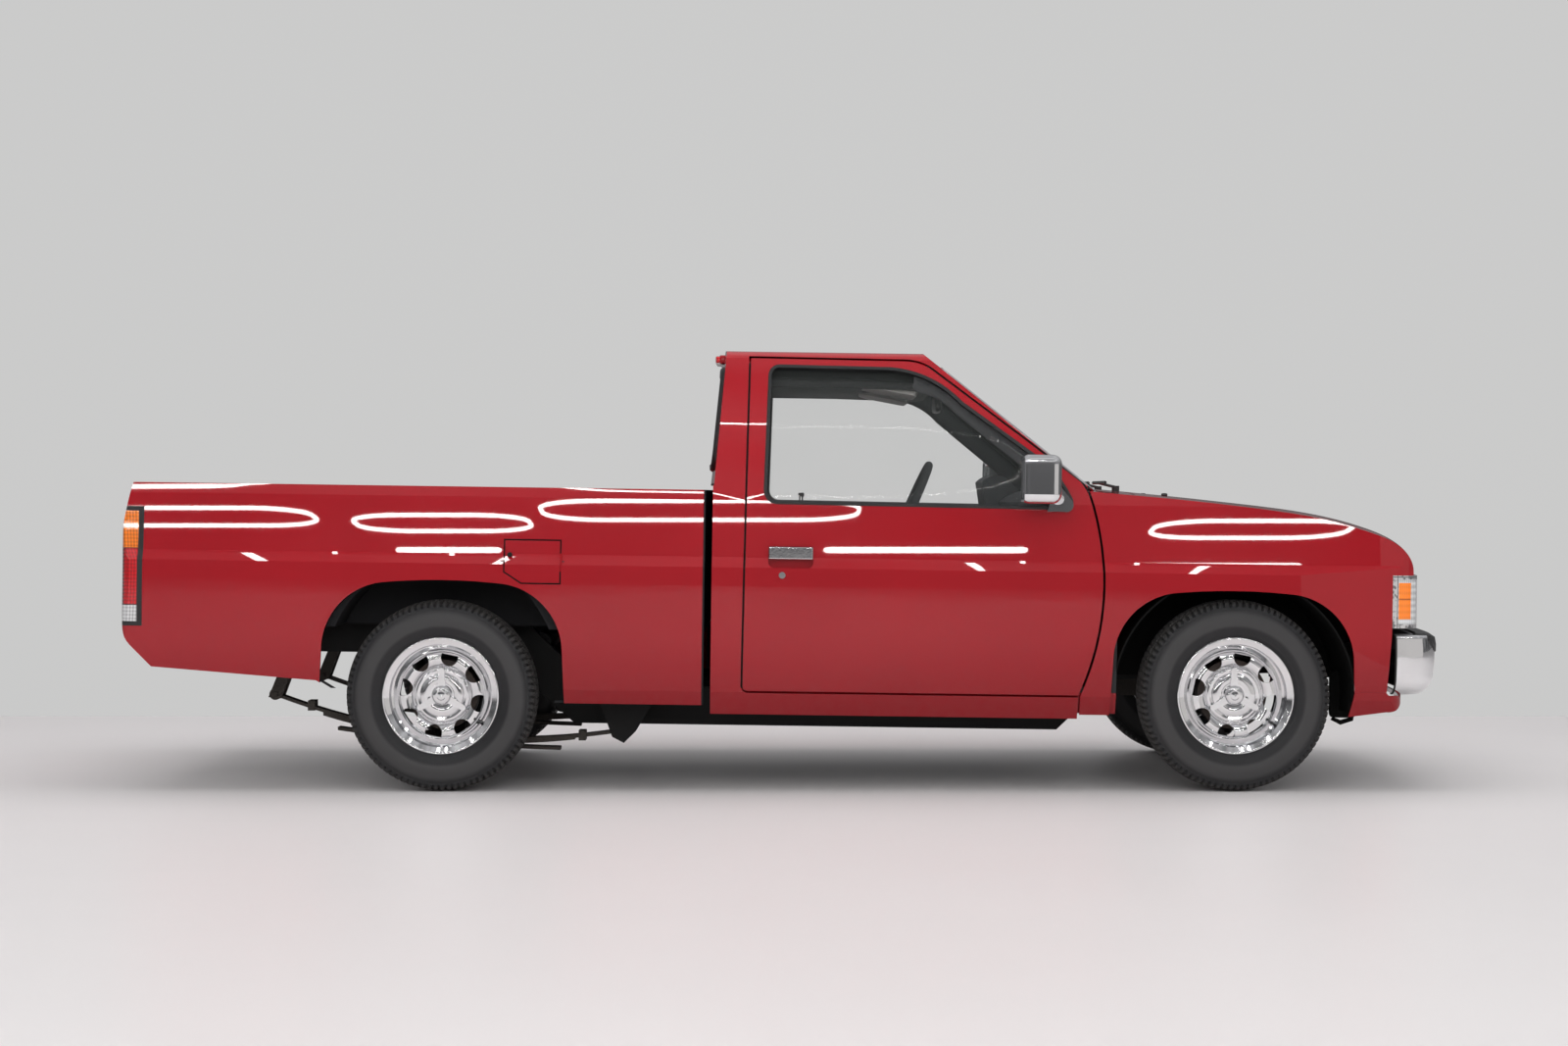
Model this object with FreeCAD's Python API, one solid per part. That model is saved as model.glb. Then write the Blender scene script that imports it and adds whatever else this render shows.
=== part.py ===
"""A compact two-door pickup truck of about 1990 with a short open bed, built as its real pieces.

X points forward, Y to the truck's left and Z up. The origin is on the ground under the middle of the overall length.
The body is drawn level and then tipped nose-down about the rear axle, because this truck stands with a slight rake.
Lengths are millimetres. Stations along the nose, cab and doors are measured from the front axle, and those of the
bed from the rear axle.
"""
import FreeCAD
import Part
import math
import os
from FreeCAD import Vector

# Overall sizes
WHEELBASE = 2650.0
FRONT_OVERHANG = 716.5
REAR_OVERHANG = 1063.5
BODY_HALF_WIDTH = 825.0
RAKE_DEG = 0.8

# Wheels and tyres
TYRE_RADIUS = 319.0
TYRE_WIDTH = 198.0
RIM_RADIUS = 195.0
RIM_WIDTH = 165.0
TRACK_HALF = 697.0
RIM_WALL = 6.0
RIM_WINDOWS = 8

# Fits between pieces
SEAT_GAP = 0.3
SHUT_GAP = 7.0
FLANGE = 12.0
PANEL = 8.0

# Body heights of the level body
ROCKER_BOTTOM = 272.0
SILL_LINE = 347.0
CREASE_Z = 796.0
BELT_Z = 985.0
ROOF_EDGE_Z = 1466.0
ROOF_Z = 1504.0
BED_TOP_Z = 1018.0
BED_BOTTOM_Z = 301.0
BED_DEPTH = 435.0
CAB_FLOOR_Z = 430.0
CAB_FLOOR_THICK = 36.0
APERTURE_IN = 545.0
APERTURE_LIP = 7.0

# Stations along the cab and nose from the front axle
CAB_REAR = -1751.0
DOOR_REAR = -1644.0
DOOR_FRONT = -452.0
HOOD_REAR = -333.0
FIREWALL = -400.0
LAMP_REAR = 511.0

# Steering
KINGPIN_Y = 600.0

FRONT_X = (FRONT_OVERHANG + WHEELBASE + REAR_OVERHANG) / 2
FX = FRONT_X - FRONT_OVERHANG
RX = FX - WHEELBASE
REAR_X = -FRONT_X
HUB_Z = TYRE_RADIUS
CAB_REAR_X = FX + CAB_REAR
CAB_BED_GAP = 24.0
BED_FRONT_X = CAB_REAR_X - CAB_BED_GAP
RAIL_FRONT = FX + 590.0
RAIL_REAR = RX - 960.0
RAIL_Y = 372.0
RAIL_WIDTH = 56.0


# Small shape helpers

def xz(u, v):
    return Vector(u, 0, v)


def yz(u, v):
    return Vector(0, u, v)


def xy(u, v):
    return Vector(u, v, 0)


def edges_of(plane, start, *steps):
    """Edges from start: a step of one point is a line, and a step of two points is an arc through the first."""
    found = []
    here = plane(*start)
    for step in steps:
        if isinstance(step[0], tuple):
            mid, end = plane(*step[0]), plane(*step[1])
            found.append(Part.Arc(here, mid, end).toShape())
        else:
            end = plane(*step)
            found.append(Part.LineSegment(here, end).toShape())
        here = end
    return found


def closed(plane, start, *steps):
    """A closed wire in a plane, whose last step joins back to the start by a line where it doesn't end there."""
    edges = edges_of(plane, start, *steps)
    last = edges[-1].valueAt(edges[-1].LastParameter)
    first = plane(*start)
    if last.distanceToPoint(first) > 1e-6:
        edges.append(Part.LineSegment(last, first).toShape())
    return Part.Wire(edges)


def softened(plane, corners):
    """A closed wire through corners of (u, v, radius), each rounded by an arc that runs smoothly into both sides."""
    count = len(corners)
    cuts = []
    for k, (u, v, radius) in enumerate(corners):
        here = plane(u, v)
        before = plane(*corners[k - 1][:2]) - here
        after = plane(*corners[(k + 1) % count][:2]) - here
        before.normalize()
        after.normalize()
        half = math.acos(max(-1.0, min(1.0, before.dot(after)))) / 2
        if radius <= 0 or half > 1.56:
            cuts.append((here, None, here))
            continue
        reach = radius / math.tan(half)
        middle = before + after
        middle.normalize()
        depth = radius / math.sin(half) - radius
        cuts.append((here + before * reach, here + middle * depth, here + after * reach))
    edges = []
    for k, (first, mid, last) in enumerate(cuts):
        if mid is not None:
            edges.append(Part.Arc(first, mid, last).toShape())
        following = cuts[(k + 1) % count][0]
        if last.distanceToPoint(following) > 1e-6:
            edges.append(Part.LineSegment(last, following).toShape())
    return Part.Wire(edges)


def grown(wire, by):
    """A planar wire moved outwards by a distance, or inwards where it is negative."""
    if abs(by) < 1e-9:
        return wire
    moved = wire.makeOffset2D(by, 2 if by > 0 else 0)
    return max(moved.Wires, key=lambda w: w.Length)


def along_y(wire, y0, y1):
    solid = Part.Face(wire).extrude(Vector(0, y1 - y0, 0))
    solid.translate(Vector(0, y0, 0))
    return solid


def along_x(wire, x0, x1):
    solid = Part.Face(wire).extrude(Vector(x1 - x0, 0, 0))
    solid.translate(Vector(x0, 0, 0))
    return solid


def along_z(wire, z0, z1):
    solid = Part.Face(wire).extrude(Vector(0, 0, z1 - z0))
    solid.translate(Vector(0, 0, z0))
    return solid


def block(x0, x1, y0, y1, z0, z1):
    return Part.makeBox(x1 - x0, y1 - y0, z1 - z0, Vector(x0, y0, z0))


def rod(start, end, radius):
    start, end = Vector(*start), Vector(*end)
    return Part.makeCylinder(radius, (end - start).Length, start, end - start)


def ball(centre, radius):
    return Part.makeSphere(radius, Vector(*centre))


def fuse(shapes):
    shapes = list(shapes)
    return shapes[0].fuse(shapes[1:]).removeSplitter() if len(shapes) > 1 else shapes[0]


def mirrored(shape):
    return shape.mirror(Vector(0, 0, 0), Vector(0, 1, 0))


def both(shape):
    return Part.Compound([shape, mirrored(shape)])


def rounded_block(x0, x1, y0, y1, z0, z1, radius):
    solid = block(x0, x1, y0, y1, z0, z1)
    return solid.makeFillet(radius, solid.Edges)


def pieces(shape):
    """The solids of a shape, largest first, as one compound."""
    return Part.Compound(sorted(shape.Solids, key=lambda s: -s.Volume))


# The body's cross-section and its volumes

def side_section():
    """Half of the cross-section in Y and Z from the rocker to the roof's centre: sill, side, crease, belt and roof."""
    half = BODY_HALF_WIDTH
    return edges_of(
        yz,
        (0, ROCKER_BOTTOM),
        (half - 52, ROCKER_BOTTOM),
        (half - 22, SILL_LINE),
        ((half - 6, 530), (half, 700)),
        (half, CREASE_Z - 34),
        (half - 11, CREASE_Z - 8),
        (half - 14, CREASE_Z),
        (half - 27, BELT_Z),
        ((half - 104, 1232), (half - 200, ROOF_EDGE_Z)),
        ((half - 226.6, ROOF_EDGE_Z + 17.8), (half - 258, ROOF_EDGE_Z + 25)),
        ((290, ROOF_Z - 3), (0, ROOF_Z)),
    )


def plain_section():
    """The same half section without the crease, the sill's chamfer and the tight roof edge, for deep insets."""
    half = BODY_HALF_WIDTH
    return edges_of(
        yz,
        (0, ROCKER_BOTTOM),
        (half - 22, ROCKER_BOTTOM),
        (half - 8, CREASE_Z),
        (half - 27, BELT_Z),
        ((half - 104, 1232), (half - 200, ROOF_EDGE_Z)),
        (half - 258, ROOF_EDGE_Z + 25),
        ((290, ROOF_Z - 3), (0, ROOF_Z)),
    )


PLAIN_FROM = 30.0


def body_prism(inset, x0, x1):
    """The full cross-section between two stations, with its surface moved inwards."""
    right = plain_section() if inset > PLAIN_FROM else side_section()
    left = [mirrored(edge) for edge in right]
    wire = Part.Wire(Part.__sortEdges__(right + left))
    return along_x(grown(wire, -inset), x0, x1)


# Windshield: an arc in plan carried up and back along the glass's slope
WINDSHIELD_BASE = -493.0
WINDSHIELD_BASE_Z = 1033.0
WINDSHIELD_TOP = -1021.0
WINDSHIELD_TOP_Z = 1441.0
WINDSHIELD_BULGE = 72.0
REAR_BULGE = 30.0
REAR_LEAN = 42.0


def leaning_prism(edge_x, bulge, reach, z0, z1, lean):
    """A block whose one end is an arc in plan, bulging by bulge, and which leans by lean over its height."""
    far = edge_x + reach
    wide = 900.0
    swell = bulge * (wide / BODY_HALF_WIDTH) ** 2
    base = closed(
        xy,
        (far, -wide),
        (edge_x + bulge - swell, -wide),
        ((edge_x + bulge, 0), (edge_x + bulge - swell, wide)),
        (far, wide),
    )
    solid = Part.Face(base).extrude(Vector(lean, 0, z1 - z0))
    solid.translate(Vector(0, 0, z0))
    return solid


def windshield_side(inset):
    """What lies behind the windshield's outer surface."""
    slope = (WINDSHIELD_TOP - WINDSHIELD_BASE) / (WINDSHIELD_TOP_Z - WINDSHIELD_BASE_Z)
    low, high = 900.0, 1600.0
    back = inset * math.hypot(1, slope)
    edge = FX + WINDSHIELD_BASE + slope * (low - WINDSHIELD_BASE_Z) - back
    return leaning_prism(edge, WINDSHIELD_BULGE, -2400, low, high, slope * (high - low))


def rear_side(inset):
    """What lies ahead of the cab's back, which is upright below and leans and bulges round its window above."""
    low, high = BED_TOP_Z + 15, 1600.0
    lean = REAR_LEAN * (high - low) / (ROOF_EDGE_Z - low)
    upper = leaning_prism(CAB_REAR_X + 6 + inset, -REAR_BULGE, 2400, low, high, lean)
    lower = block(CAB_REAR_X + inset, CAB_REAR_X + 2400, -900, 900, 100, low)
    return upper.fuse(lower)


def cab_volume(inset):
    """The cab as one solid, with every outer surface moved inwards."""
    prism = body_prism(inset, CAB_REAR_X - 100, FX + FIREWALL - inset)
    below = block(CAB_REAR_X - 200, FX, -900, 900, 100, WINDSHIELD_BASE_Z)
    glassed = prism.common(windshield_side(inset).fuse(below))
    return glassed.common(rear_side(inset))


# The nose: hood and fenders share one crowned surface
HOOD_HALF = 700.0
NOSE_Z = 776.0
NOSE_STATIONS = (
    # station from the front axle, height, how far its ends fall back and how far they drop
    (-560.0, 1054.0, 0.0, 18.0),
    (-200.0, 1024.0, 5.0, 15.0),
    (100.0, 996.0, 15.0, 16.0),
    (330.0, 968.0, 25.0, 22.0),
    (500.0, 928.0, 50.0, 22.0),
    (600.0, 882.0, 65.0, 14.0),
    (648.0, 832.0, 72.0, 8.0),
    (664.0, NOSE_Z, 75.0, 0.0),
)
NOSE_FULL_Y = 770.0
BUMPER_BULGE = 4.0


def nose_profile(y, inset):
    """The crown's line at one distance from the middle, moved inwards square to itself."""
    share = (y / NOSE_FULL_Y) ** 2
    line = [(FX + x - back * share, z - drop * share) for x, z, back, drop in NOSE_STATIONS]
    if not inset:
        return line
    moved = []
    for k, (x, z) in enumerate(line):
        (x0, z0), (x1, z1) = line[max(k - 1, 0)], line[min(k + 1, len(line) - 1)]
        run = math.hypot(x1 - x0, z1 - z0)
        moved.append((x + inset * (z1 - z0) / run, z - inset * (x1 - x0) / run))
    return moved


def nose_crown(inset):
    """Everything under the hood's crowned surface, down to below the bumper."""
    lines = []
    for y in range(-900, 901, 300):
        curve = Part.BSplineCurve()
        curve.interpolate([Vector(x, y, z) for x, z in nose_profile(y, inset)])
        lines.append(Part.Wire([curve.toShape()]))
    skin = Part.makeLoft(lines, False, False).Faces[0]
    return skin.extrude(Vector(0, 0, -1000))


def nose_plan():
    """The nose in plan: sides that draw in a little, rounded corners and a bowed front."""
    half = BODY_HALF_WIDTH
    return closed(
        xy,
        (FX - 700, -half - 20),
        (FX + 150, -half - 2),
        (FX + 525, -half + 12),
        ((FX + 580, -half + 34), (FX + 607, -half + 85)),
        ((FX + 668, 0), (FX + 607, half - 85)),
        ((FX + 580, half - 34), (FX + 525, half - 12)),
        (FX + 150, half + 2),
        (FX - 700, half + 20),
    )


def nose_volume(inset):
    """The whole front of the truck as one solid, with its outer surface moved inwards."""
    plan = along_z(grown(nose_plan(), -inset), 120, 1100)
    prism = body_prism(inset, FX - 560, FX + 800)
    return nose_crown(inset).common(plan).common(prism)


# Outlines in side view

def arch_outline(centre_x, bottom):
    """A wheel arch: a shallow crown, tight shoulders and near-upright legs."""
    return closed(
        xz,
        (centre_x - 417, bottom),
        (centre_x - 400, 470),
        ((centre_x - 342, 622), (centre_x - 200, 697)),
        ((centre_x, 707), (centre_x + 200, 697)),
        ((centre_x + 342, 622), (centre_x + 400, 470)),
        (centre_x + 417, bottom),
    )


def door_outline():
    """The door's shut line: upright at the rear, bowed at the front and sloping up the windshield pillar."""
    rear, front = FX + DOOR_REAR, FX + DOOR_FRONT
    return closed(
        xz,
        (rear, 372),
        ((rear + 6, 357), (rear + 20, 352)),
        (front - 76, 352),
        ((front, 713), (front - 50, 1024)),
        ((front - 62, 1044), (front - 78, 1064)),
        (FX - 1008, 1424),
        ((FX - 1050, 1450), (FX - 1110, 1462)),
        (rear + 12, 1466),
    )


def window_outline():
    """The side window's opening, inside the door's frame."""
    rear = FX + DOOR_REAR + 70
    return closed(
        xz,
        (rear, 1020),
        ((rear + 12, 992), (rear + 40, 982)),
        (FX - 590, 976),
        ((FX - 562, 984), (FX - 566, 1010)),
        ((FX - 600, 1068), (FX - 690, 1152)),
        (FX - 925, 1322),
        ((FX - 1040, 1404), (FX - 1190, 1434)),
        (rear + 40, 1438),
        ((rear + 18, 1430), (rear + 10, 1408)),
    )


def windshield_outline(gap=0.0):
    """The windshield's opening in front view."""
    low, high, wide, narrow = 1036.0 + gap, 1440.0 - gap, 694.0 - gap, 562.0 - gap
    return softened(yz, (
        (-wide, low, 26), (wide, low, 26), (narrow, high, 46), (-narrow, high, 46),
    ))


def rear_window_outline(gap=0.0):
    """The back window's opening in rear view."""
    low, high, wide, narrow = 1100.0 + gap, 1420.0 - gap, 642.0 - gap, 566.0 - gap
    return softened(yz, (
        (-wide, low, 40), (wide, low, 40), (narrow, high, 40), (-narrow, high, 40),
    ))


# The cab

def cab_shell():
    """Roof, pillars, back, rockers, floor, cowl and firewall in one pressed and welded shell."""
    outer = cab_volume(0)
    wall = 52.0
    floor_top = CAB_FLOOR_Z
    glazed = WINDSHIELD_BASE_Z - 60
    room = body_prism(wall, CAB_REAR_X - 10, FX + FIREWALL - 30).common(rear_side(wall))
    low = block(CAB_REAR_X - 20, FX, -900, 900, floor_top, glazed)
    high = block(CAB_REAR_X - 20, FX, -900, 900, glazed, 1700).common(windshield_side(24))
    room = room.common(low.fuse(high))
    shell = outer.cut(room)
    under = block(CAB_REAR_X - 10, FX, -700, 700, 100, floor_top - CAB_FLOOR_THICK)
    tunnel_out = block(CAB_REAR_X + wall, FX + FIREWALL - 20, -190, 190, floor_top - 5, 545)
    tunnel_in = block(CAB_REAR_X - 10, FX, -170, 170, 100, 525)
    shell = shell.fuse(tunnel_out).cut(under).cut(tunnel_in)
    shut = along_y(grown(door_outline(), SHUT_GAP), -1000, 1000)
    shell = shell.cut(shut.cut(body_prism(FLANGE + 6, CAB_REAR_X - 10, FX + 10)))
    step = along_y(grown(door_outline(), -APERTURE_LIP), -1000, 1000)
    swing = along_y(grown(door_outline(), SHUT_GAP + 2), -1000, 1000).common(
        block(FX + DOOR_FRONT - 120, FX, -1000, 1000, 380, 1010))
    middle = block(-3000, 3000, -APERTURE_IN, APERTURE_IN, 0, 2000)
    shell = shell.cut(step.cut(middle)).cut(swing.cut(middle))
    # Ahead of the door the fender is the outer skin, and the cab's post stands inside it.
    seam = FX + DOOR_FRONT
    ahead = closed(xz, (seam - 76, 200), (seam - 76, 360), (seam - 28, 713), (seam - 63, 1015), (seam - 51, 1030),
                   (seam - 51, 1060), (FX, 1060), (FX, 200))
    shell = shell.cut(along_y(ahead, -1000, 1000).cut(body_prism(PANEL + 10, CAB_REAR_X, FX + 300)))
    shell = shell.cut(block(seam - 52, FX, -900, 900, 900, 1100).cut(nose_crown(PANEL + 3)))
    shell = shell.cut(along_x(windshield_outline(), FX - 1180, FX + 100))
    back = along_x(rear_window_outline(), CAB_REAR_X - 100, CAB_REAR_X + 200)
    shell = shell.cut(back)
    cowl = nose_volume(0).cut(nose_volume(10)).common(
        block(FX + FIREWALL - 80, FX + HOOD_REAR - HOOD_GAP, -HOOD_HALF, HOOD_HALF, 940, 1100))
    cowl = max(cowl.cut(windshield_side(-3)).Solids, key=lambda s: s.Volume)
    apron = block(FX + FIREWALL - 20, FX + FIREWALL, -HOOD_HALF, HOOD_HALF, 940, 1100).common(nose_crown(5))
    shell = shell.fuse([cowl, apron])
    for z in HINGE_HEIGHTS:
        shell = shell.fuse([hinge_arm(z), mirrored(hinge_arm(z))])
    shell = shell.fuse(hood_hinges(0))
    return max(shell.Solids, key=lambda s: s.Volume)


HOOD_GAP = 8.0
HOOD_PIN = 2.5
HOOD_HINGE_X = FX + HOOD_REAR - HOOD_GAP / 2


def hood_hinge_z():
    """Just under the crown's centre line at the hood's rear edge."""
    stations = sorted((x, z) for x, z, _, _ in NOSE_STATIONS)
    (x0, z0), (x1, z1) = [pair for pair in zip(stations, stations[1:]) if pair[0][0] <= HOOD_REAR <= pair[1][0]][0]
    return z0 + (z1 - z0) * (HOOD_REAR - x0) / (x1 - x0) - 1.5


def hood_hinges(leaf):
    """Pins on the cowl's edge for leaf 0, and the hood's tabs that bear on them for leaf 1."""
    z = hood_hinge_z()
    made = []
    for y in (-230, 170):
        if leaf:
            made.append(block(HOOD_HINGE_X + HOOD_PIN + SEAT_GAP, HOOD_HINGE_X + 8, y, y + 60, z - 6, z - 1))
        else:
            pin = rod((HOOD_HINGE_X, y, z), (HOOD_HINGE_X, y + 60, z), HOOD_PIN)
            made.append(pin.fuse(block(HOOD_HINGE_X - 8, HOOD_HINGE_X, y, y + 60, z - HOOD_PIN, z)))
    return made


def windshield():
    sheet = windshield_side(6).cut(windshield_side(12))
    cut = along_x(windshield_outline(SEAT_GAP), FX - 1180, FX + 100)
    return pieces(sheet.common(cut))


def rear_window():
    sheet = rear_side(8).cut(rear_side(13))
    cut = along_x(rear_window_outline(SEAT_GAP), CAB_REAR_X - 100, CAB_REAR_X + 200)
    return pieces(sheet.common(cut))


# Doors, drawn on the right side and mirrored

HINGE_X = FX + DOOR_FRONT - 50
HINGE_Y = BODY_HALF_WIDTH - 20
HINGE_HEIGHTS = (490.0, 725.0)
HINGE_PIN = 4.0
HINGE_EYE = 7.5
HINGE_LENGTH = 46.0
HINGE_REACH = 58.0


def hinge_arm(z):
    """A goose-necked hinge arm with its eye, running in from the eye and then forward to the firewall."""
    low, high = z - HINGE_LENGTH / 2, z + HINGE_LENGTH / 2
    inward = block(HINGE_X - 7, HINGE_X + 7, -HINGE_Y, -HINGE_Y + HINGE_REACH + 14, low, high)
    forward = block(HINGE_X - 7, FX + FIREWALL - 20, -HINGE_Y + HINGE_REACH, -HINGE_Y + HINGE_REACH + 14, low, high)
    eye = rod((HINGE_X, -HINGE_Y, low), (HINGE_X, -HINGE_Y, high), HINGE_EYE)
    hole = rod((HINGE_X, -HINGE_Y, low - 1), (HINGE_X, -HINGE_Y, high + 1), HINGE_PIN + SEAT_GAP)
    return fuse([inward, forward, eye]).cut(hole)


def hinge_pocket(z):
    """The room in the door's front edge for one hinge arm."""
    low, high = z - HINGE_LENGTH / 2 - 4, z + HINGE_LENGTH / 2 + 4
    return block(HINGE_X - 22, FX + DOOR_FRONT + 20, -BODY_HALF_WIDTH + FLANGE, -600, low, high)


def hinge_pin(z):
    low, high = z - HINGE_LENGTH / 2 - 8, z + HINGE_LENGTH / 2 + 8
    return rod((HINGE_X, -HINGE_Y, low), (HINGE_X, -HINGE_Y, high), HINGE_PIN)

DOOR_THICK = 96.0
DOOR_INSET = 18.0
FRAME_THICK = 30.0
GLASS_IN = 20.0
GLASS_THICK = 5.0
RIGHT_SIDE = (-1100, -300)


def door():
    """An outer skin that laps the aperture's flange, a thick inner body inset from it and an open window."""
    outline = door_outline()
    x0, x1 = CAB_REAR_X - 10, FX + 10
    slab = along_y(outline, *RIGHT_SIDE).common(body_prism(0, x0, x1))
    behind_lap = body_prism(FLANGE, x0, x1).common(block(x0, x1, *RIGHT_SIDE, 0, 2000))
    slab = slab.cut(behind_lap.cut(along_y(grown(outline, -DOOR_INSET), -1200, -200)))
    lower = block(-3000, 3000, -1100, 0, 0, BELT_Z - 20)
    slab = slab.cut(body_prism(DOOR_THICK, x0, x1).common(lower))
    within = block(x0, x1, -BODY_HALF_WIDTH + DOOR_THICK + 26, -250, 300, BELT_Z + 14)
    slab = slab.cut(within).cut(along_y(window_outline(), *RIGHT_SIDE))
    inside_frame = body_prism(FRAME_THICK, x0 - 5, x1 + 5).common(block(-3000, 3000, -1100, 100, BELT_Z + 12, 1700))
    solid = slab.cut(inside_frame).cut(handle_pocket())
    for z in HINGE_HEIGHTS:
        solid = solid.cut(hinge_pocket(z)).fuse(hinge_pin(z))
    return max(solid.Solids, key=lambda s: s.Volume)


HANDLE_X = FX - 1489.0
HANDLE_Z = 812.0
HANDLE_LENGTH = 150.0
HANDLE_HEIGHT = 46.0
POCKET_DEPTH = 16.0


def handle_pocket():
    """The finger recess behind and under the door handle."""
    x0, x1 = HANDLE_X - HANDLE_LENGTH / 2, HANDLE_X + HANDLE_LENGTH / 2
    shape = closed(xz, (x0, HANDLE_Z + 22), (x0, HANDLE_Z - 30), ((x0 + 6, HANDLE_Z - 44), (x0 + 20, HANDLE_Z - 50)),
                   (x1 - 20, HANDLE_Z - 50), ((x1 - 6, HANDLE_Z - 44), (x1, HANDLE_Z - 30)), (x1, HANDLE_Z + 22))
    return along_y(shape, -BODY_HALF_WIDTH - 5, -BODY_HALF_WIDTH + 14 + POCKET_DEPTH)


def door_glass():
    sheet = body_prism(GLASS_IN, CAB_REAR_X, FX).cut(body_prism(GLASS_IN + GLASS_THICK, CAB_REAR_X, FX))
    cut = along_y(grown(window_outline(), -SEAT_GAP), *RIGHT_SIDE)
    return pieces(sheet.common(cut))


MIRROR_X = FX - 679.0
MIRROR_Z = 1068.0


def door_brightwork():
    """The chromed mirror on its foot, the pull handle and the lock's bezel."""
    foot_outline = closed(xz, (FX - 640, 962), (FX - 585, 962), ((FX - 558, 970), (FX - 560, 1000)), (FX - 610, 1062))
    foot = along_y(foot_outline, -822, -700).cut(body_prism(0, CAB_REAR_X, FX + 100))
    neck = rod((FX - 598, -800, 1000), (FX - 640, -880, 1030), 22)
    neck = neck.cut(body_prism(0, CAB_REAR_X, FX + 100))
    head = rounded_block(MIRROR_X - 66, MIRROR_X + 70, -1008, -846, MIRROR_Z - 80, MIRROR_Z + 80, 30)
    head = head.cut(block(MIRROR_X - 80, MIRROR_X - 52, -1100, -800, 900, 1300))
    dish = block(MIRROR_X - 60, MIRROR_X - 34, -996, -858, MIRROR_Z - 68, MIRROR_Z + 68)
    mirror = fuse([foot, neck, head]).cut(dish)
    x0, x1 = HANDLE_X - HANDLE_LENGTH / 2 + 2, HANDLE_X + HANDLE_LENGTH / 2 - 2
    face = -BODY_HALF_WIDTH + 9
    pull = block(x0, x1, face - 8, face + 4, HANDLE_Z - 20, HANDLE_Z + 20)
    pull = pull.makeFillet(3, pull.Edges)
    stem = block(x0 + 4, x0 + 14, face + 3, -BODY_HALF_WIDTH + 14 + POCKET_DEPTH, HANDLE_Z - 16, HANDLE_Z + 16)
    stem = stem.fuse(block(x1 - 14, x1 - 4, face + 3, -BODY_HALF_WIDTH + 14 + POCKET_DEPTH, HANDLE_Z - 16, HANDLE_Z + 16))
    handle = fuse([pull, stem])
    lock = rod((FX - 1517, -BODY_HALF_WIDTH - 3, 738), (FX - 1517, -BODY_HALF_WIDTH + 30, 738), 11)
    lock = lock.cut(body_prism(0, CAB_REAR_X, FX))
    return Part.Compound([max(mirror.Solids, key=lambda s: s.Volume), handle, lock])


# Front sheet metal

def hood():
    """The hood: a crowned panel from the cowl to the top of the grille, turned down at the nose."""
    thick = 22.0
    shell = nose_volume(0).cut(nose_volume(thick))
    half = HOOD_HALF
    area = block(FX + HOOD_REAR, FX + 900, -half, half, NOSE_Z + 2, 1200)
    keep = area.cut(block(FX - 300, FX + 560, -half, half, 0, 850))
    return max(shell.common(keep).fuse(hood_hinges(1)).Solids, key=lambda s: s.Volume)


def fender():
    """The right fender: the side behind and over the wheel, its shoulder beside the hood and the nose's corner."""
    shell = nose_volume(0).cut(nose_volume(PANEL))
    front = LAMP_REAR + FX
    shut = along_y(grown(door_outline(), SHUT_GAP + 1), *RIGHT_SIDE)
    outline = closed(
        xz,
        (FX - 700, 286),
        (FX - 380, 286),
        (FX + 380, 376),
        (front - 14, 376),
        (front, 576),
        (front, LAMP_TOP + SEAT_GAP),
        (FX + 800, LAMP_TOP + SEAT_GAP),
        (FX + 800, 1200),
        (FX - 700, 1200),
    )
    panel = shell.common(along_y(outline, -1100, -HOOD_HALF - SHUT_GAP))
    panel = panel.cut(shut).cut(along_y(arch_outline(FX - 14, 100), -1100, -600))
    seam = FX + DOOR_FRONT
    behind = closed(xz, (FX - 900, 100), (seam - 69, 100), (seam - 69, 352), (seam - 18, 713), (seam - 60, 1020),
                    (seam - 46, 1030), (seam - 46, 1200), (FX - 900, 1200))
    panel = panel.cut(along_y(behind, -1100, -300))
    return max(panel.Solids, key=lambda s: s.Volume)


def front_fenders():
    return both(fender())


def inner_wings():
    """Black wheel housings inside the fenders, and the radiator in its support between them."""
    centre = (FX - 10, 356)
    outer = rod((centre[0], -808, centre[1]), (centre[0], -416, centre[1]), 404)
    inner = rod((centre[0], -818, centre[1]), (centre[0], -422, centre[1]), 398)
    shell = outer.cut(inner)
    shield = shell.common(block(FX + 300, FX + 420, -774, -440, 300, 401))
    tub = shell.cut(block(FX - 900, FX + 900, -1000, 0, 0, 400))
    tub = tub.cut(block(FX - 170, FX + 170, -460, -400, 0, 520))
    tub = tub.common(body_prism(PANEL + SEAT_GAP, FX + FIREWALL + SEAT_GAP, FX + 800)).common(nose_crown(26)).fuse(shield)
    core = rounded_block(FX + 452, FX + 492, -330, 330, 440, 780, 8)
    panel = block(FX + 486, FX + 494, -690, 690, 405, 760).cut(block(FX + 480, FX + 500, -320, 320, 450, 740))
    gap = SEAT_GAP
    for y in (-RAIL_Y, RAIL_Y):
        edge = RAIL_WIDTH / 2 + gap
        panel = panel.cut(block(FX + 480, FX + 500, y - edge, y + edge, 400, 520 + gap))
    return Part.Compound([tub, mirrored(tub), fuse([core, panel])])


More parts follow.
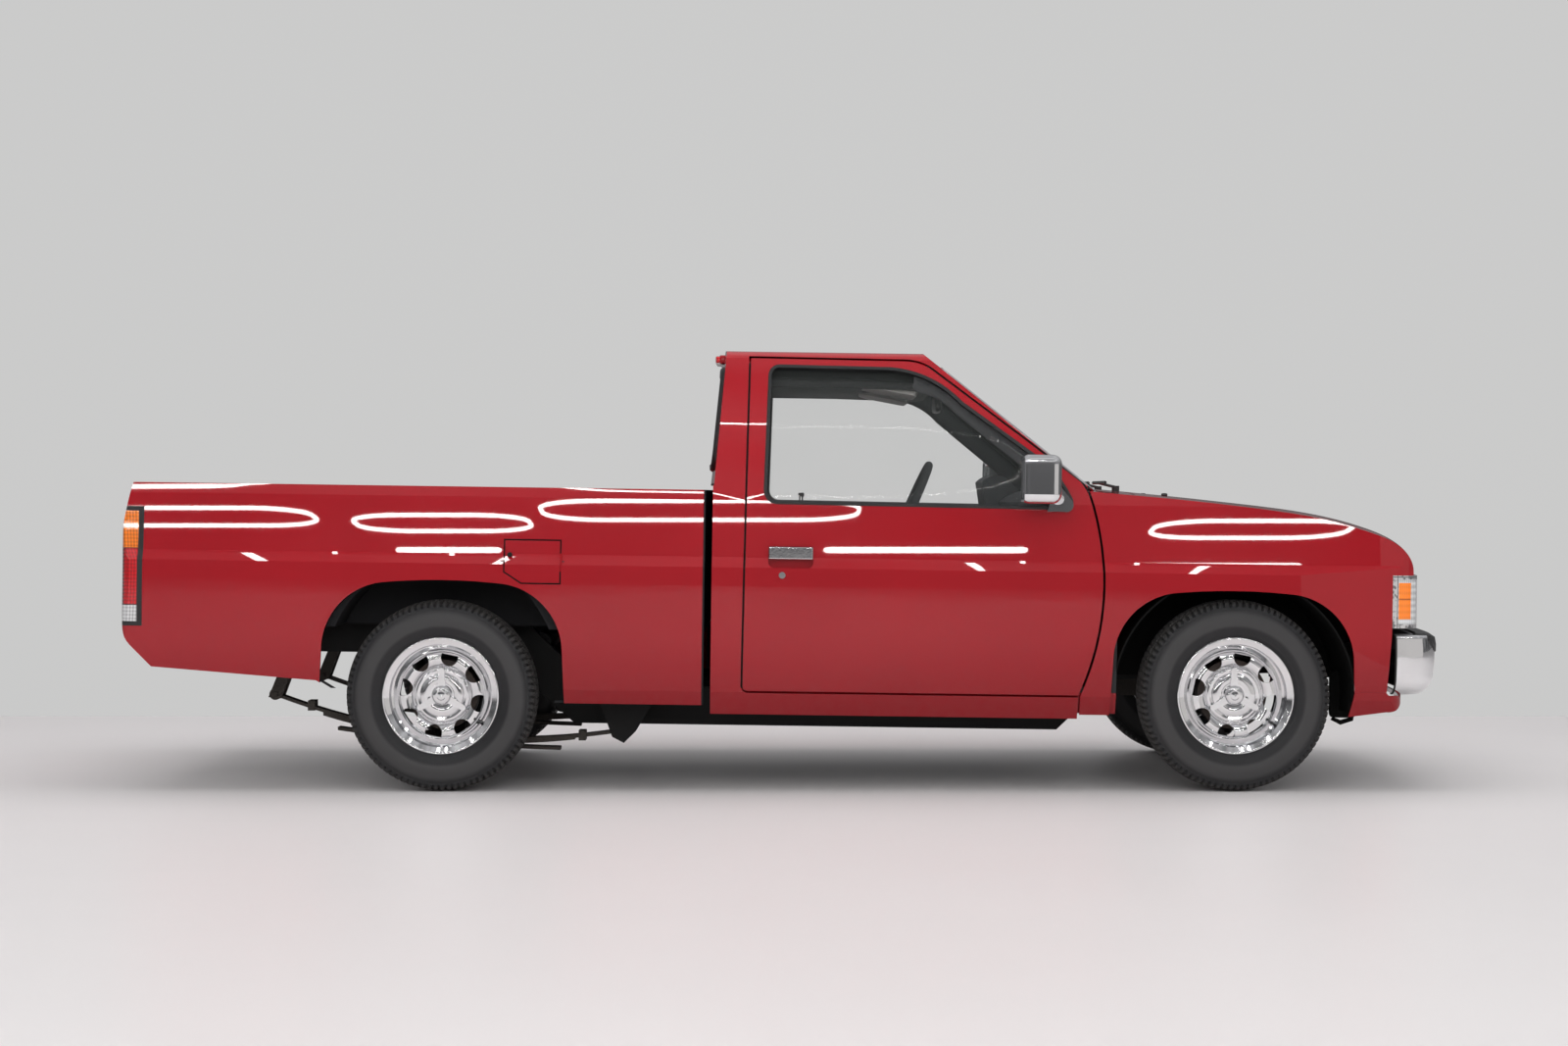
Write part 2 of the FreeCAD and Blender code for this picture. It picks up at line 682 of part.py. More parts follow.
def front_valance():
    """The painted apron under the bumper, wrapping from one front wheel arch to the other."""
    outline = closed(xz, (FX + 376, 291), (FX + 500, 309), ((FX + 545, 325), (FX + 560, 358)), (FX + 535, 365),
                     (FX + 505, 365), (FX + 495, 376 - SEAT_GAP), (FX + 392, 376 - SEAT_GAP))
    plan = nose_plan()
    outer = along_z(plan, 200, 500).common(body_prism(0, FX, FX + 700))
    inner = along_z(grown(plan, -PANEL), 200, 500).common(body_prism(PANEL, FX, FX + 700))
    shift = Vector(-50, 0, 0)
    outer.translate(shift)
    inner.translate(shift)
    reach = along_y(outline, -900, 900).fuse(block(FX + 520, FX + 700, -740, 740, 350, 365))
    band = outer.cut(inner).common(reach)
    return max(band.Solids, key=lambda s: s.Volume)


def bumper_path():
    """A shallow bow across the truck, turned back round each corner without a kink."""
    half = BODY_HALF_WIDTH - 6 - BUMPER_BULGE
    corner = 110.0
    start = 560.0
    ahead = FRONT_OVERHANG - BUMPER_BULGE - start
    bow = (ahead ** 2 + (half - corner) ** 2 - corner ** 2) / (2 * (ahead - corner))
    turn = math.asin((half - corner) / (bow - corner))
    middle = (turn + math.pi / 2) / 2
    join_x, join_y = FX + start + corner * math.cos(turn), half - corner + corner * math.sin(turn)
    mid_x, mid_y = FX + start + corner * math.cos(middle), half - corner + corner * math.sin(middle)
    return Part.Wire(edges_of(
        xy,
        (FX + 522, -half),
        (FX + start, -half),
        ((mid_x, -mid_y), (join_x, -join_y)),
        ((FX + FRONT_OVERHANG - BUMPER_BULGE, 0), (join_x, join_y)),
        ((mid_x, mid_y), (FX + start, half)),
        (FX + 522, half),
    ))


def bumper_section():
    """The pressing's section at its right end: a shelf, a face that bulges, and a deep roll under to a lower shelf."""
    half = BODY_HALF_WIDTH - 6 - BUMPER_BULGE
    thick = 5
    top, low = 568, 366

    def line(depth):
        """The outer line, or the inner one at a depth below it."""
        face = -half + depth
        back = -half + 75
        return [
            (back, top - depth),
            (face + 14 - depth, top - depth),
            (face, top - 14),
            (face - BUMPER_BULGE, 495),
            (face, 438),
            (-half + 21 + depth * 0.7, 387 + depth * 0.7),
            (-half + 72, low + depth),
            (back, low + depth),
        ]

    out = line(0)
    into = line(thick)
    wire = closed(yz, out[0], out[1], ((out[1][0] - 10, top - 4), out[2]), (out[3], out[4]), (out[5], out[6]), out[7],
                  into[7], into[6], (into[5], into[4]), (into[3], into[2]), into[1], into[0])
    wire.translate(Vector(FX + 522, 0, 0))
    return wire


def front_bumper():
    """A chromed pressing with a rounded face, bowed in plan and wrapped round both corners, on its two irons."""
    shell = bumper_path().makePipeShell([bumper_section()], True, False)
    irons = [block(RAIL_FRONT + SEAT_GAP, FX + 700, s * RAIL_Y - 25, s * RAIL_Y + 25, 450, 500) for s in (-1, 1)]
    return fuse([shell] + irons)


def lamp_band(inset, depth):
    """A wall that follows the nose in plan, from one depth to another."""
    return along_z(grown(nose_plan(), -inset), 500, 800).cut(along_z(grown(nose_plan(), -depth), 500, 800))


LAMP_TOP = 765.0
LAMP_BOTTOM = 590.0


def grille():
    """A black grille with a surround and slats between the lamps."""
    band = lamp_band(6, 40)
    frame = band.common(block(FX + 500, FX + 800, -468, 468, LAMP_BOTTOM, LAMP_TOP))
    opening = block(FX + 500, FX + 800, -450, 450, LAMP_BOTTOM + 18, LAMP_TOP - 18)
    slats = [block(FX + 500, FX + 800, -455, 455, z, z + 9) for z in (636, 668, 700, 732)]
    posts = [block(FX + 500, FX + 800, y - 5, y + 5, LAMP_BOTTOM, LAMP_TOP) for y in (-225, 0, 225)]
    bars = lamp_band(12, 36).common(fuse(slats + posts))
    return max(frame.cut(opening).fuse(bars).Solids, key=lambda s: s.Volume)


def front_lamps():
    """Rectangular headlamps and the side lamps that wrap round the corners."""
    head = lamp_band(2, 100).common(block(FX + 400, FX + 800, -690 + SEAT_GAP, -468 - SEAT_GAP, LAMP_BOTTOM, LAMP_TOP))
    corner = lamp_band(0, 60).common(block(FX + LAMP_REAR + SEAT_GAP, FX + 800, -900, -690, LAMP_BOTTOM, LAMP_TOP))
    corner = corner.common(body_prism(0, FX, FX + 800))
    corner = max(corner.Solids, key=lambda s: s.Volume)
    head = max(head.Solids, key=lambda s: s.Volume)
    return Part.Compound([head, mirrored(head), corner, mirrored(corner)])


# The bed

BED_RAIL = 65.0
BED_FRONT_WALL = 27.0
BED_FLOOR_THICK = 38.0
TAILGATE_HALF = 652.0
TAILGATE_THICK = 50.0
TAILGATE_BOTTOM = 547.0
HOUSE_HALF = 521.0
HOUSE_RADIUS = 386.0
HOUSE_Z = 398.0
HOUSE_WALL = 6.0
HOUSE_OUT = BODY_HALF_WIDTH - 24.0
BED_FLOOR_Z = BED_TOP_Z - BED_DEPTH


def bed_outline():
    """The bed's side: a level rail, a bowed tail, a raked rear corner and the skirts."""
    return closed(
        xz,
        (BED_FRONT_X, BED_BOTTOM_Z),
        (BED_FRONT_X, BED_TOP_Z),
        (REAR_X + 34, BED_TOP_Z),
        ((REAR_X + 2, 850), (REAR_X + 4, 560)),
        ((REAR_X + 12, 510), (REAR_X + 40, 470)),
        (REAR_X + 104, 406),
        (RX - 412, 367),
        (RX - 300, BED_BOTTOM_Z),
    )


def bed_plan(inset):
    """The bed in plan, with rounded rear corners."""
    half = BODY_HALF_WIDTH + 5
    rear = REAR_X
    wire = closed(xy, (BED_FRONT_X + 5, -half), (rear + 48, -half), ((rear + 15, -half + 14), (rear, -half + 50)),
                  (rear, half - 50), ((rear + 15, half - 14), (rear + 48, half)), (BED_FRONT_X + 5, half))
    return along_z(grown(wire, -inset), 200, 1100)


def bed_volume(inset):
    outline = along_y(grown(bed_outline(), -inset), -900, 900)
    return outline.common(body_prism(inset, REAR_X - 50, BED_FRONT_X + 50)).common(bed_plan(inset))


def bed():
    """Double-skinned sides, front wall, ribbed floor, wheel houses and the sill under the tailgate."""
    outer = bed_volume(0)
    inner_half = BODY_HALF_WIDTH - BED_RAIL
    rear_in = REAR_X + TAILGATE_THICK + SHUT_GAP
    room = block(rear_in, BED_FRONT_X - BED_FRONT_WALL, -inner_half, inner_half, BED_FLOOR_Z, 1100)
    mouth = block(REAR_X - 50, rear_in + 5, -TAILGATE_HALF - SHUT_GAP, TAILGATE_HALF + SHUT_GAP, TAILGATE_BOTTOM - SHUT_GAP, 1100)
    under_top = BED_FLOOR_Z - BED_FLOOR_THICK
    under = bed_volume(PANEL).common(block(REAR_X + 60, BED_FRONT_X - 30, -900, 900, 100, under_top))
    under_rear = bed_volume(PANEL).common(block(REAR_X - 60, REAR_X + 70, -900, 900, 100, under_top - 60))
    open_bottom = block(REAR_X + 112, BED_FRONT_X + 50, -BODY_HALF_WIDTH + 60, BODY_HALF_WIDTH - 60, 100, under_top)
    shell = outer.cut(fuse([room, mouth])).cut(fuse([under, under_rear, open_bottom]))
    house = wheel_well(HOUSE_RADIUS + HOUSE_WALL, HOUSE_HALF).cut(block(-3000, 3000, -1000, 0, 0, BED_FLOOR_Z - 20))
    shell = shell.fuse([house, mirrored(house)])
    well = wheel_well(HOUSE_RADIUS, HOUSE_HALF + HOUSE_WALL)
    shell = shell.cut(fuse([well, mirrored(well)]))
    arch = along_y(arch_outline(RX + 5, 100), -1000, -HOUSE_OUT + 30)
    shell = shell.cut(fuse([arch, mirrored(arch)]))
    low = block(RX - 380, RX + 380, -1000, -HOUSE_HALF - HOUSE_WALL, 200, 340)
    shell = shell.cut(low).cut(mirrored(low))
    lamp = tail_lamp_space(0.0)
    shell = shell.cut(fuse([lamp, mirrored(lamp)]))
    shell = shell.cut(flap_hole())
    ribs = [block(rear_in + 20, BED_FRONT_X - BED_FRONT_WALL - 20, y - 32, y + 32, BED_FLOOR_Z - 3, BED_FLOOR_Z + 9)
            for y in range(-450, 451, 100)]
    shell = shell.fuse(ribs).fuse(flap_pin())
    return max(shell.Solids, key=lambda s: s.Volume)


def wheel_well(radius, inner_y):
    """The room round the right rear wheel: round above and straight-sided below."""
    shape = closed(xz, (RX - radius, 100), (RX - radius, HOUSE_Z), ((RX, HOUSE_Z + radius), (RX + radius, HOUSE_Z)),
                   (RX + radius, 100))
    return along_y(shape, -HOUSE_OUT, -inner_y)


TAIL_LAMP_TOP = 938.0
TAIL_LAMP_BOTTOM = 541.0
TAIL_LAMP_SIDE = 74.0


def tail_lamp_space(gap):
    """Where the right tail lamp sits in the bed's rear corner."""
    return block(REAR_X - 60, REAR_X + TAIL_LAMP_SIDE - gap, -900, -TAILGATE_HALF - 12 - gap,
                 TAIL_LAMP_BOTTOM + gap, TAIL_LAMP_TOP - gap).cut(
        block(REAR_X + 40, REAR_X + 200, -BODY_HALF_WIDTH + 50, -500, 0, 1100))


def tail_lamps():
    """Tall lamps wrapped round the rear corners."""
    lamp = bed_volume(0).common(tail_lamp_space(SEAT_GAP))
    return both(max(lamp.Solids, key=lambda s: s.Volume))


FLAP_LOW_Z = 702.0
FLAP_HIGH_Z = 841.0


def flap_outline():
    """The fuel flap on the bed's right side, with its lower rear corner cut off."""
    rear, front = RX + 212, RX + 394
    return closed(xz, (rear, FLAP_HIGH_Z), (rear, FLAP_LOW_Z + 36), (rear + 56, FLAP_LOW_Z), (front, FLAP_LOW_Z),
                  (front, FLAP_HIGH_Z))


FLAP_THICK = 6.0


def flap_hole():
    """The flap's shut line and the shallow filler pocket behind it."""
    shut = along_y(grown(flap_outline(), 5), -1000, -700).cut(body_prism(FLAP_THICK + 2, RX - 500, RX + 900))
    pocket = along_y(grown(flap_outline(), -14), -1000, -700).cut(body_prism(48, RX - 500, RX + 900))
    return shut.fuse(pocket)


FLAP_PIN = 1.7


def flap_pin():
    """The flap's hinge pin in its front gap, carried on a leaf from the bed's side."""
    x, y = RX + 394 + FLAP_PIN + SEAT_GAP, -BODY_HALF_WIDTH + 2
    pin = rod((x, y, 740), (x, y, 800), FLAP_PIN)
    return pin.fuse(block(x, x + 6, y - 1, y + FLAP_PIN, 740, 800))


def fuel_flap():
    skin = body_prism(0, RX - 500, RX + 900).cut(body_prism(FLAP_THICK, RX - 500, RX + 900))
    return max(skin.common(along_y(flap_outline(), -1000, -700)).Solids, key=lambda s: s.Volume)


def tailgate():
    """The tailgate between the lamps: pressed outer skin with a recessed field and a capped top."""
    half = TAILGATE_HALF
    outer = along_y(bed_outline(), -half, half)
    slab = outer.common(block(REAR_X - 10, REAR_X + TAILGATE_THICK, -half, half, TAILGATE_BOTTOM, 1100))
    field = block(REAR_X - 10, REAR_X + 14, -half + 90, half - 90, 640, 900)
    field = field.makeFillet(8, [e for e in field.Edges if abs(e.Vertexes[0].X - e.Vertexes[1].X) > 1])
    grip = block(REAR_X - 10, REAR_X + 34, -85, 85, 905, 955)
    slab = max(slab.cut(field).cut(grip).Solids, key=lambda s: s.Volume)
    reach = half + SHUT_GAP - SEAT_GAP
    x, z = REAR_X + 11, TAILGATE_BOTTOM + 6
    return fuse([slab, rod((x, half - 5, z), (x, reach, z), 5), rod((x, -half + 5, z), (x, -reach, z), 5)])


# Inside the cab

COLUMN_TOP = (FX - 1034.0, 350.0, 948.0)
COLUMN_SLOPE_DEG = 23.0


def column_point(distance):
    """A point on the steering column's axis, measured forward from the steering wheel's centre."""
    a = math.radians(COLUMN_SLOPE_DEG)
    x, y, z = COLUMN_TOP
    return (x + distance * math.cos(a), y, z - distance * math.sin(a))


def dashboard():
    """A moulded dashboard with a hooded binnacle, glove shelf and the column's shroud."""
    front = FX + FIREWALL - 30 - SEAT_GAP
    profile = closed(xz, (front, 960), (FX - 500, 1000), (FX - 560, 1016), ((FX - 690, 1016), (FX - 726, 990)),
                     (FX - 740, 850), (FX - 640, 720), (front, 720))
    inside = body_prism(58, CAB_REAR_X, FX)
    half = 700
    base = along_y(profile, -half, half).common(inside)
    hood_profile = closed(xz, (FX - 620, 1000), (FX - 700, 1076), ((FX - 760, 1082), (FX - 790, 1060)),
                          (FX - 770, 940), (FX - 620, 900))
    binnacle = along_y(hood_profile, 170, 540)
    shroud = rod(column_point(60), column_point(330), 42)
    top = rod(column_point(2), column_point(62), 18)
    lower = rod(column_point(320), column_point(640), 16)
    solid = fuse([base, binnacle, shroud, top, lower])
    solid = solid.cut(block(front, FX, -900, 900, 0, 1700)).cut(steering_wheel_space())
    return max(solid.Solids, key=lambda s: s.Volume)


def steering_wheel_space():
    return rod(column_point(-60), column_point(2), 230)


def steering_wheel():
    """A rim of round section, a padded hub and four spokes, about the column's axis."""
    rim = Part.makeTorus(182, 15)
    hub = Part.makeCylinder(62, 34, Vector(0, 0, -17))
    spokes = [Part.makeBox(150, 30, 14, Vector(40, -15, -7)) for _ in range(4)]
    for spoke, turn in zip(spokes, (-18, 18, 162, 198)):
        spoke.rotate(Vector(0, 0, 0), Vector(0, 0, 1), turn)
    wheel = fuse([rim, hub] + spokes)
    # The disc's own axis is Z: turned to face up and back along the column.
    wheel.rotate(Vector(0, 0, 0), Vector(0, 0, 1), -90)
    wheel.rotate(Vector(0, 0, 0), Vector(0, 1, 0), -90 + COLUMN_SLOPE_DEG)
    wheel.translate(Vector(*column_point(2 - 17 - SEAT_GAP)))
    return wheel


def bench_seat():
    """A low bench with a cushion and a backrest."""
    half = 640
    cushion = rounded_block(FX - 1460, FX - 960, -half, half, 500, 690, 40)
    back_profile = closed(xz, (FX - 1560, 520), (FX - 1455, 520), (FX - 1530, 930), ((FX - 1560, 956), (FX - 1600, 950)),
                          (FX - 1640, 900))
    back = along_y(back_profile, -half, half)
    return fuse([cushion, back])


def seat_on_floor():
    """The bench's plinth stands on the cab's floor each side of the tunnel."""
    seat = bench_seat()
    feet = [block(FX - 1420, FX - 1020, s * 400 - 160, s * 400 + 160, CAB_FLOOR_Z + SEAT_GAP, 520) for s in (-1, 1)]
    return fuse([seat] + feet).cut(block(FX - 1700, FX - 900, -196, 196, 0, 551))


def wipers():
    """Two wiper arms with blades, parked along the windshield's lower edge."""
    arms = []
    for y0, y1 in ((-430, -20), (120, 530)):
        hub = rod((FX - 370, y0, 1022), (FX - 370, y0, 1052), 13)
        arm = rod((FX - 370, y0, 1047), (FX - 400, y1 - 150, 1062), 5)
        blade = rod((FX - 402, y0 + 40, 1063), (FX - 402, y1, 1063), 6)
        arms.append(max(fuse([hub, arm, blade]).cut(nose_crown(-SEAT_GAP)).Solids, key=lambda s: s.Volume))
    return arms


# The chassis

def rail():
    """The right frame rail in side view: up over the front suspension, low under the cab, up over the rear axle."""
    outline = closed(
        xz,
        (RAIL_FRONT, 420),
        (RAIL_FRONT, 520),
        (FX + 150, 520),
        (FX - 300, 500),
        (FX - 440, 335),
        (RX + 480, 335),
        (RX + 260, 540),
        (RAIL_REAR + 60, 540),
        (RAIL_REAR, 510),
        (RAIL_REAR, 440),
        (RX + 150, 440),
        (RX + 420, 205),
        (FX - 560, 205),
        (FX - 380, 380),
        (FX + 150, 410),
    )
    return along_y(outline, -RAIL_Y - RAIL_WIDTH / 2, -RAIL_Y + RAIL_WIDTH / 2)


def cross_tube(x, z, radius):
    return rod((x, -RAIL_Y, z), (x, RAIL_Y, z), radius)


def frame():
    """Ladder frame: two rails, cross members, spring hangers and the cab's and bed's mounting posts."""
    side = [rail()]
    for x in (CAB_REAR_X + 180, FX - 760):
        outrigger = block(x - 40, x + 40, -560, -RAIL_Y, 262, 330)
        post = rod((x, -520, 320), (x, -520, CAB_FLOOR_Z - CAB_FLOOR_THICK - SEAT_GAP), 34)
        side += [outrigger, post]
    floor_under = BED_FLOOR_Z - BED_FLOOR_THICK
    for x in (BED_FRONT_X - 180, RX + 90, REAR_X + 250):
        low = 330 if x > RX + 400 else 530
        side.append(block(x - 45, x + 45, -RAIL_Y - 60, -RAIL_Y + RAIL_WIDTH / 2, low, floor_under - SEAT_GAP))
    hanger = closed(xz, (RX + 500, 330), (RX + 720, 330), (RX + 640, 190), (RX + 600, 150), (RX + 560, 170))
    side.append(along_y(hanger, -SPRING_Y - 6 - SPRING_WIDTH / 2, -SPRING_Y - SPRING_WIDTH / 2 - SEAT_GAP))
    side.append(along_y(hanger, -SPRING_Y + SPRING_WIDTH / 2 + SEAT_GAP, -RAIL_Y))
    side.append(block(RX + 560, RX + 680, -SPRING_Y - 6 - SPRING_WIDTH / 2, -RAIL_Y, 262, 330))
    side.append(block(RX - 560, RX - 500, -SPRING_Y - 30, -RAIL_Y, 450, 500))
    side.append(rod((RX - 530, -SPRING_Y - 40, 475), (RX - 530, -RAIL_Y, 475), 14))
    shapes = side + [mirrored(s) for s in side]
    crosses = [
        block(FX + 520, FX + 580, -RAIL_Y, RAIL_Y, 430, 505),
        block(FX - 90, FX + 90, -RAIL_Y, RAIL_Y, 300, 412),
        block(FX - 880, FX - 820, -RAIL_Y, RAIL_Y, 209, 262),
        cross_tube(BED_FRONT_X - 24, 236, 28),
        cross_tube(RX + 300, 480, 34),
        block(RX - 420, RX - 360, -RAIL_Y, RAIL_Y, 455, 530),
        block(RAIL_REAR + 20, RAIL_REAR + 80, -RAIL_Y, RAIL_Y, 455, 530),
    ]
    return fuse(shapes + crosses)


SPRING_Y = 505.0
SPRING_WIDTH = 60.0
SPRING_THICK = 34.0
FRONT_EYE = (588.0, 184.0)
REAR_EYE = (-594.0, 308.0)


def leaf_spring():
    """A leaf pack under the axle with its eyes, clamps, lowering block, U-bolts and rear shackle."""
    y0, y1 = -SPRING_Y - SPRING_WIDTH / 2, -SPRING_Y + SPRING_WIDTH / 2
    eye_f, eye_r = (RX + FRONT_EYE[0], FRONT_EYE[1]), (RX + REAR_EYE[0], REAR_EYE[1])
    mid = (RX, 172)

    def leaf(a, b, via, thick):
        lower_a, lower_b, lower_via = (a[0], a[1] - thick), (b[0], b[1] - thick), (via[0], via[1] - thick)
        return along_y(closed(xz, a, (via, b), lower_b, (lower_via, lower_a)), y0, y1)

    main = leaf((eye_r[0], eye_r[1] + 5), (eye_f[0], eye_f[1] + 5), (mid[0], mid[1]), 11)
    second = leaf((RX - 430, 248), (RX + 430, 166), (RX, 162), 13)
    helper = leaf((RX - 380, 196), (RX + 380, 128), (RX, 150), 11)
    saddle = block(RX - 60, RX + 60, y0, y1, 132, 182)
    lowering = block(RX - 45, RX + 45, y0 + 2, y1 - 2, 178, HUB_Z - AXLE_RADIUS + 8)
    eyes = [rod((x, y0, z), (x, y1, z), 20) for x, z in (eye_f, eye_r)]
    clamps = [block(x - 12, x + 12, y0 - 4, y1 + 4, z, z + 34) for x, z in ((RX - 470, 252), (RX + 455, 150))]
    shackle = closed(xz, (eye_r[0] - 22, eye_r[1] - 10), (eye_r[0] + 22, eye_r[1] - 14), (RX - 512, 456),
                     (RX - 552, 456))
    plates = [along_y(shackle, y0 - 8, y0 - 1), along_y(shackle, y1 + 1, y1 + 8)]
    pin = rod((eye_r[0], y0 - 14, eye_r[1]), (eye_r[0], y1 + 14, eye_r[1]), 9)
    bolts = [block(RX + dx - 6, RX + dx + 6, y - 6, y + 6, 120, HUB_Z + AXLE_RADIUS + 14)
             for dx in (-52, 52) for y in (y0 - 8, y1 + 8)]
    straps = [block(RX - 58, RX + 58, y - 6, y + 6, HUB_Z + AXLE_RADIUS + 1, HUB_Z + AXLE_RADIUS + 13)
              for y in (y0 - 8, y1 + 8)]
    plate = block(RX - 66, RX + 66, y0 - 18, y1 + 18, 120, 134)
    return fuse([main, second, helper, saddle, lowering, pin, plate] + eyes + clamps + plates + bolts + straps)


def leaf_springs():
    tube = rod((RX, -800, HUB_Z), (RX, 0, HUB_Z), AXLE_RADIUS + SEAT_GAP)
    return both(leaf_spring().cut(tube))


AXLE_RADIUS = 40.0
DRUM_BACK = 62.0
HUB_BACK = 76.0
AXLE_END_Y = TRACK_HALF - HUB_BACK - SEAT_GAP


def rear_axle():
    """The live axle: its tube, the round case of its differential and the brake backing plates."""
    tube = rod((RX, -AXLE_END_Y, HUB_Z), (RX, AXLE_END_Y, HUB_Z), AXLE_RADIUS)
    case = ball((RX, 0, HUB_Z), 128)
    nose = rod((RX, 0, HUB_Z), (RX + 260, 0, HUB_Z + 8), 62)
    plates = [rod((RX, y, HUB_Z), (RX, y + 8, HUB_Z), 122) for y in (-AXLE_END_Y + 2, AXLE_END_Y - 10)]
    return fuse([tube, case, nose] + plates)


def engine():
    """The engine as one plain block over its sump, with the gearbox tapering away behind it."""
    main = block(FX - 330, FX + 210, -210, 210, 430, 840)
    sump = block(FX - 330, FX - 110, -150, 150, 310, 435)
    front = closed(yz, (-170, 290), (170, 290), (170, 490), (-170, 490))
    rear = closed(yz, (-80, 275), (80, 275), (80, 415), (-80, 415))
    front.translate(Vector(FX - 330, 0, 0))
    rear.translate(Vector(FX - 860, 0, 0))
    return fuse([main, sump, Part.makeLoft([front, rear], True, True)])


def propeller_shaft():
    """The propeller shaft from the gearbox to the axle's nose."""
    return rod((FX - 860 - 1, 0, 325), (RX + 260 + 2, 0, HUB_Z + 8), 38)


def exhaust():
    """Front pipe, silencer and tail pipe beside the right of the gearbox."""
    radius = 24.0
    y = 250.0
    run = [(FX - 240, 210 + radius + SEAT_GAP, 450), (FX - 420, y, 308), (BED_FRONT_X - 60, y, 296), (RX + 180, y, 300)]
    pipes = [rod(a, b, radius) for a, b in zip(run, run[1:])]
    bends = [ball(point, radius) for point in run[1:-1]]
    silencer = rod((FX - 900, y, 304), (FX - 1400, y, 300), 64)
    return fuse(pipes + bends + [silencer])


def fuel_tank():
    """The fuel tank between the right rail and the propeller shaft, under the front of the bed."""
    return rounded_block(RX + 345, BED_FRONT_X - 60, -RAIL_Y + RAIL_WIDTH / 2 + SEAT_GAP, -62, 236, 436, 24)


# Front suspension and steering, drawn level with the ground

BALL_LOW = 206.0
BALL_HIGH = 436.0
UPRIGHT_LIFT = 22.0  # keeps the upright's foot clear of the lower arm at full lock
STUD_FOOT = 2.1  # the lower ball stud's foot, just over the arms that meet below it
STEER_ARM_X = -150.0
STEER_ARM_Y = 556.0
ROD_Z = 224.0


def arm(inner_z, inner_y, front_x, rear_x, outer_y, outer_z, radius):
    """A wishbone of two tubes meeting in a ball joint's boss, on the right side."""
    tip = (FX, -outer_y, outer_z)
    tubes = [rod((FX + x, -inner_y, inner_z), tip, radius) for x in (front_x, rear_x)]
    pivot = rod((FX + rear_x - 20, -inner_y, inner_z), (FX + front_x + 20, -inner_y, inner_z), radius + 4)
    return tubes + [pivot, rod((FX, -outer_y, outer_z - 10), (FX, -outer_y, outer_z + 10), radius - 2)]


def control_arms():
    """Upper and lower wishbones, fixed where they stand when the truck is parked."""
    beside = RAIL_Y + RAIL_WIDTH / 2 + 16 + SEAT_GAP
    lower = fuse(arm(276, RAIL_Y + 17 + SEAT_GAP, 110, -100, KINGPIN_Y - 6, BALL_LOW - 13, 13))
    upper = fuse(arm(440, beside, 80, -80, KINGPIN_Y - 20, BALL_HIGH + 16, 12))
    return Part.Compound([lower, mirrored(lower), upper, mirrored(upper)])


def knuckle():
    """The right steering knuckle: upright, spindle boss, backing plate and steering arm."""
    y0, y1 = -612, -584
    upright = block(FX - 22, FX + 22, y0, y1, BALL_LOW + UPRIGHT_LIFT, BALL_HIGH - 6)
    boss = rod((FX, -AXLE_END_Y, HUB_Z), (FX, -584, HUB_Z), 46)
    plate = rod((FX, -617, HUB_Z), (FX, -612, HUB_Z), 105)
    kingpin = rod((FX, -KINGPIN_Y, BALL_LOW + 6), (FX, -KINGPIN_Y, BALL_HIGH - 6), 15)
    stud = rod((FX, -KINGPIN_Y, BALL_LOW + STUD_FOOT), (FX, -KINGPIN_Y, BALL_LOW + 10), 8)
    bar = rod((FX, -594, 262), (FX + STEER_ARM_X, -STEER_ARM_Y, 250), 11)
    eye = rod((FX + STEER_ARM_X, -STEER_ARM_Y, 238), (FX + STEER_ARM_X, -STEER_ARM_Y, 262), 18)
    return fuse([upright, kingpin, stud, boss, plate, bar, eye])


def steering_rod():
    """The track rod and relay link, one straight bar under the two steering arms' eyes."""
    x = FX + STEER_ARM_X
    bar = rod((x, -STEER_ARM_Y, ROD_Z), (x, STEER_ARM_Y, ROD_Z), 8)
    top = 238 - SEAT_GAP
    ends = [rod((x, s * STEER_ARM_Y, ROD_Z - 11), (x, s * STEER_ARM_Y, top), 14) for s in (-1, 1)]
    return fuse([bar] + ends)


# Wheels, drawn about Y with the outside towards -Y

def turned(*steps):
    """A solid turned about the wheel's axle from an outline of distance outwards and radius."""
    def point(u, r):
        return Vector(0, -u, r)
    return Part.Face(closed(point, *steps)).revolve(Vector(0, 0, 0), Vector(0, 1, 0), 360)


def rim_barrel():
    half = RIM_WIDTH / 2
    bead = RIM_RADIUS - 17
    wall = RIM_WALL
    return turned(
        (half, RIM_RADIUS - 8),
        ((half, RIM_RADIUS), (half - 7, RIM_RADIUS)),
        (half - 11, bead + 5),
        (half - 14, bead),
        (half - 44, bead - 3),
        (half - 56, bead - 27),
        (-half + 60, bead - 27),
        (-half + 46, bead - 3),
        (-half + 14, bead),
        (-half + 11, bead + 5),
        (-half + 7, RIM_RADIUS),
        ((-half, RIM_RADIUS), (-half, RIM_RADIUS - 8)),
        (-half + 7, bead - wall),
        (-half + 44, bead - 3 - wall),
        (-half + 62, bead - 27 - wall),
        (half - 58, bead - 27 - wall),
        (half - 42, bead - 3 - wall),
        (half - 7, bead - wall),
    )


def rim_disc():
    """The pressed disc, bulging outwards round its windows and stepping down at its edge."""
    return turned(
        (20, 0),
        (20, 84),
        ((34, 91), (46, 101)),
        ((55, 120), (48, 142)),
        (34, 146),
        (24, 151),
        (12, 151),
        (30, 137),
        ((45, 121), (38, 106)),
        ((26, 94), (12, 86)),
        (12, 0),
    )


def rim_window(turn):
    """One D-shaped hand hole, its straight side outwards."""
    shape = closed(xz, (-28, 138), (28, 138), ((22, 111), (0, 99)), ((-22, 111), (-28, 138)))
    hole = along_y(shape, -80, 0)
    hole.rotate(Vector(0, 0, 0), Vector(0, 1, 0), turn)
    return hole


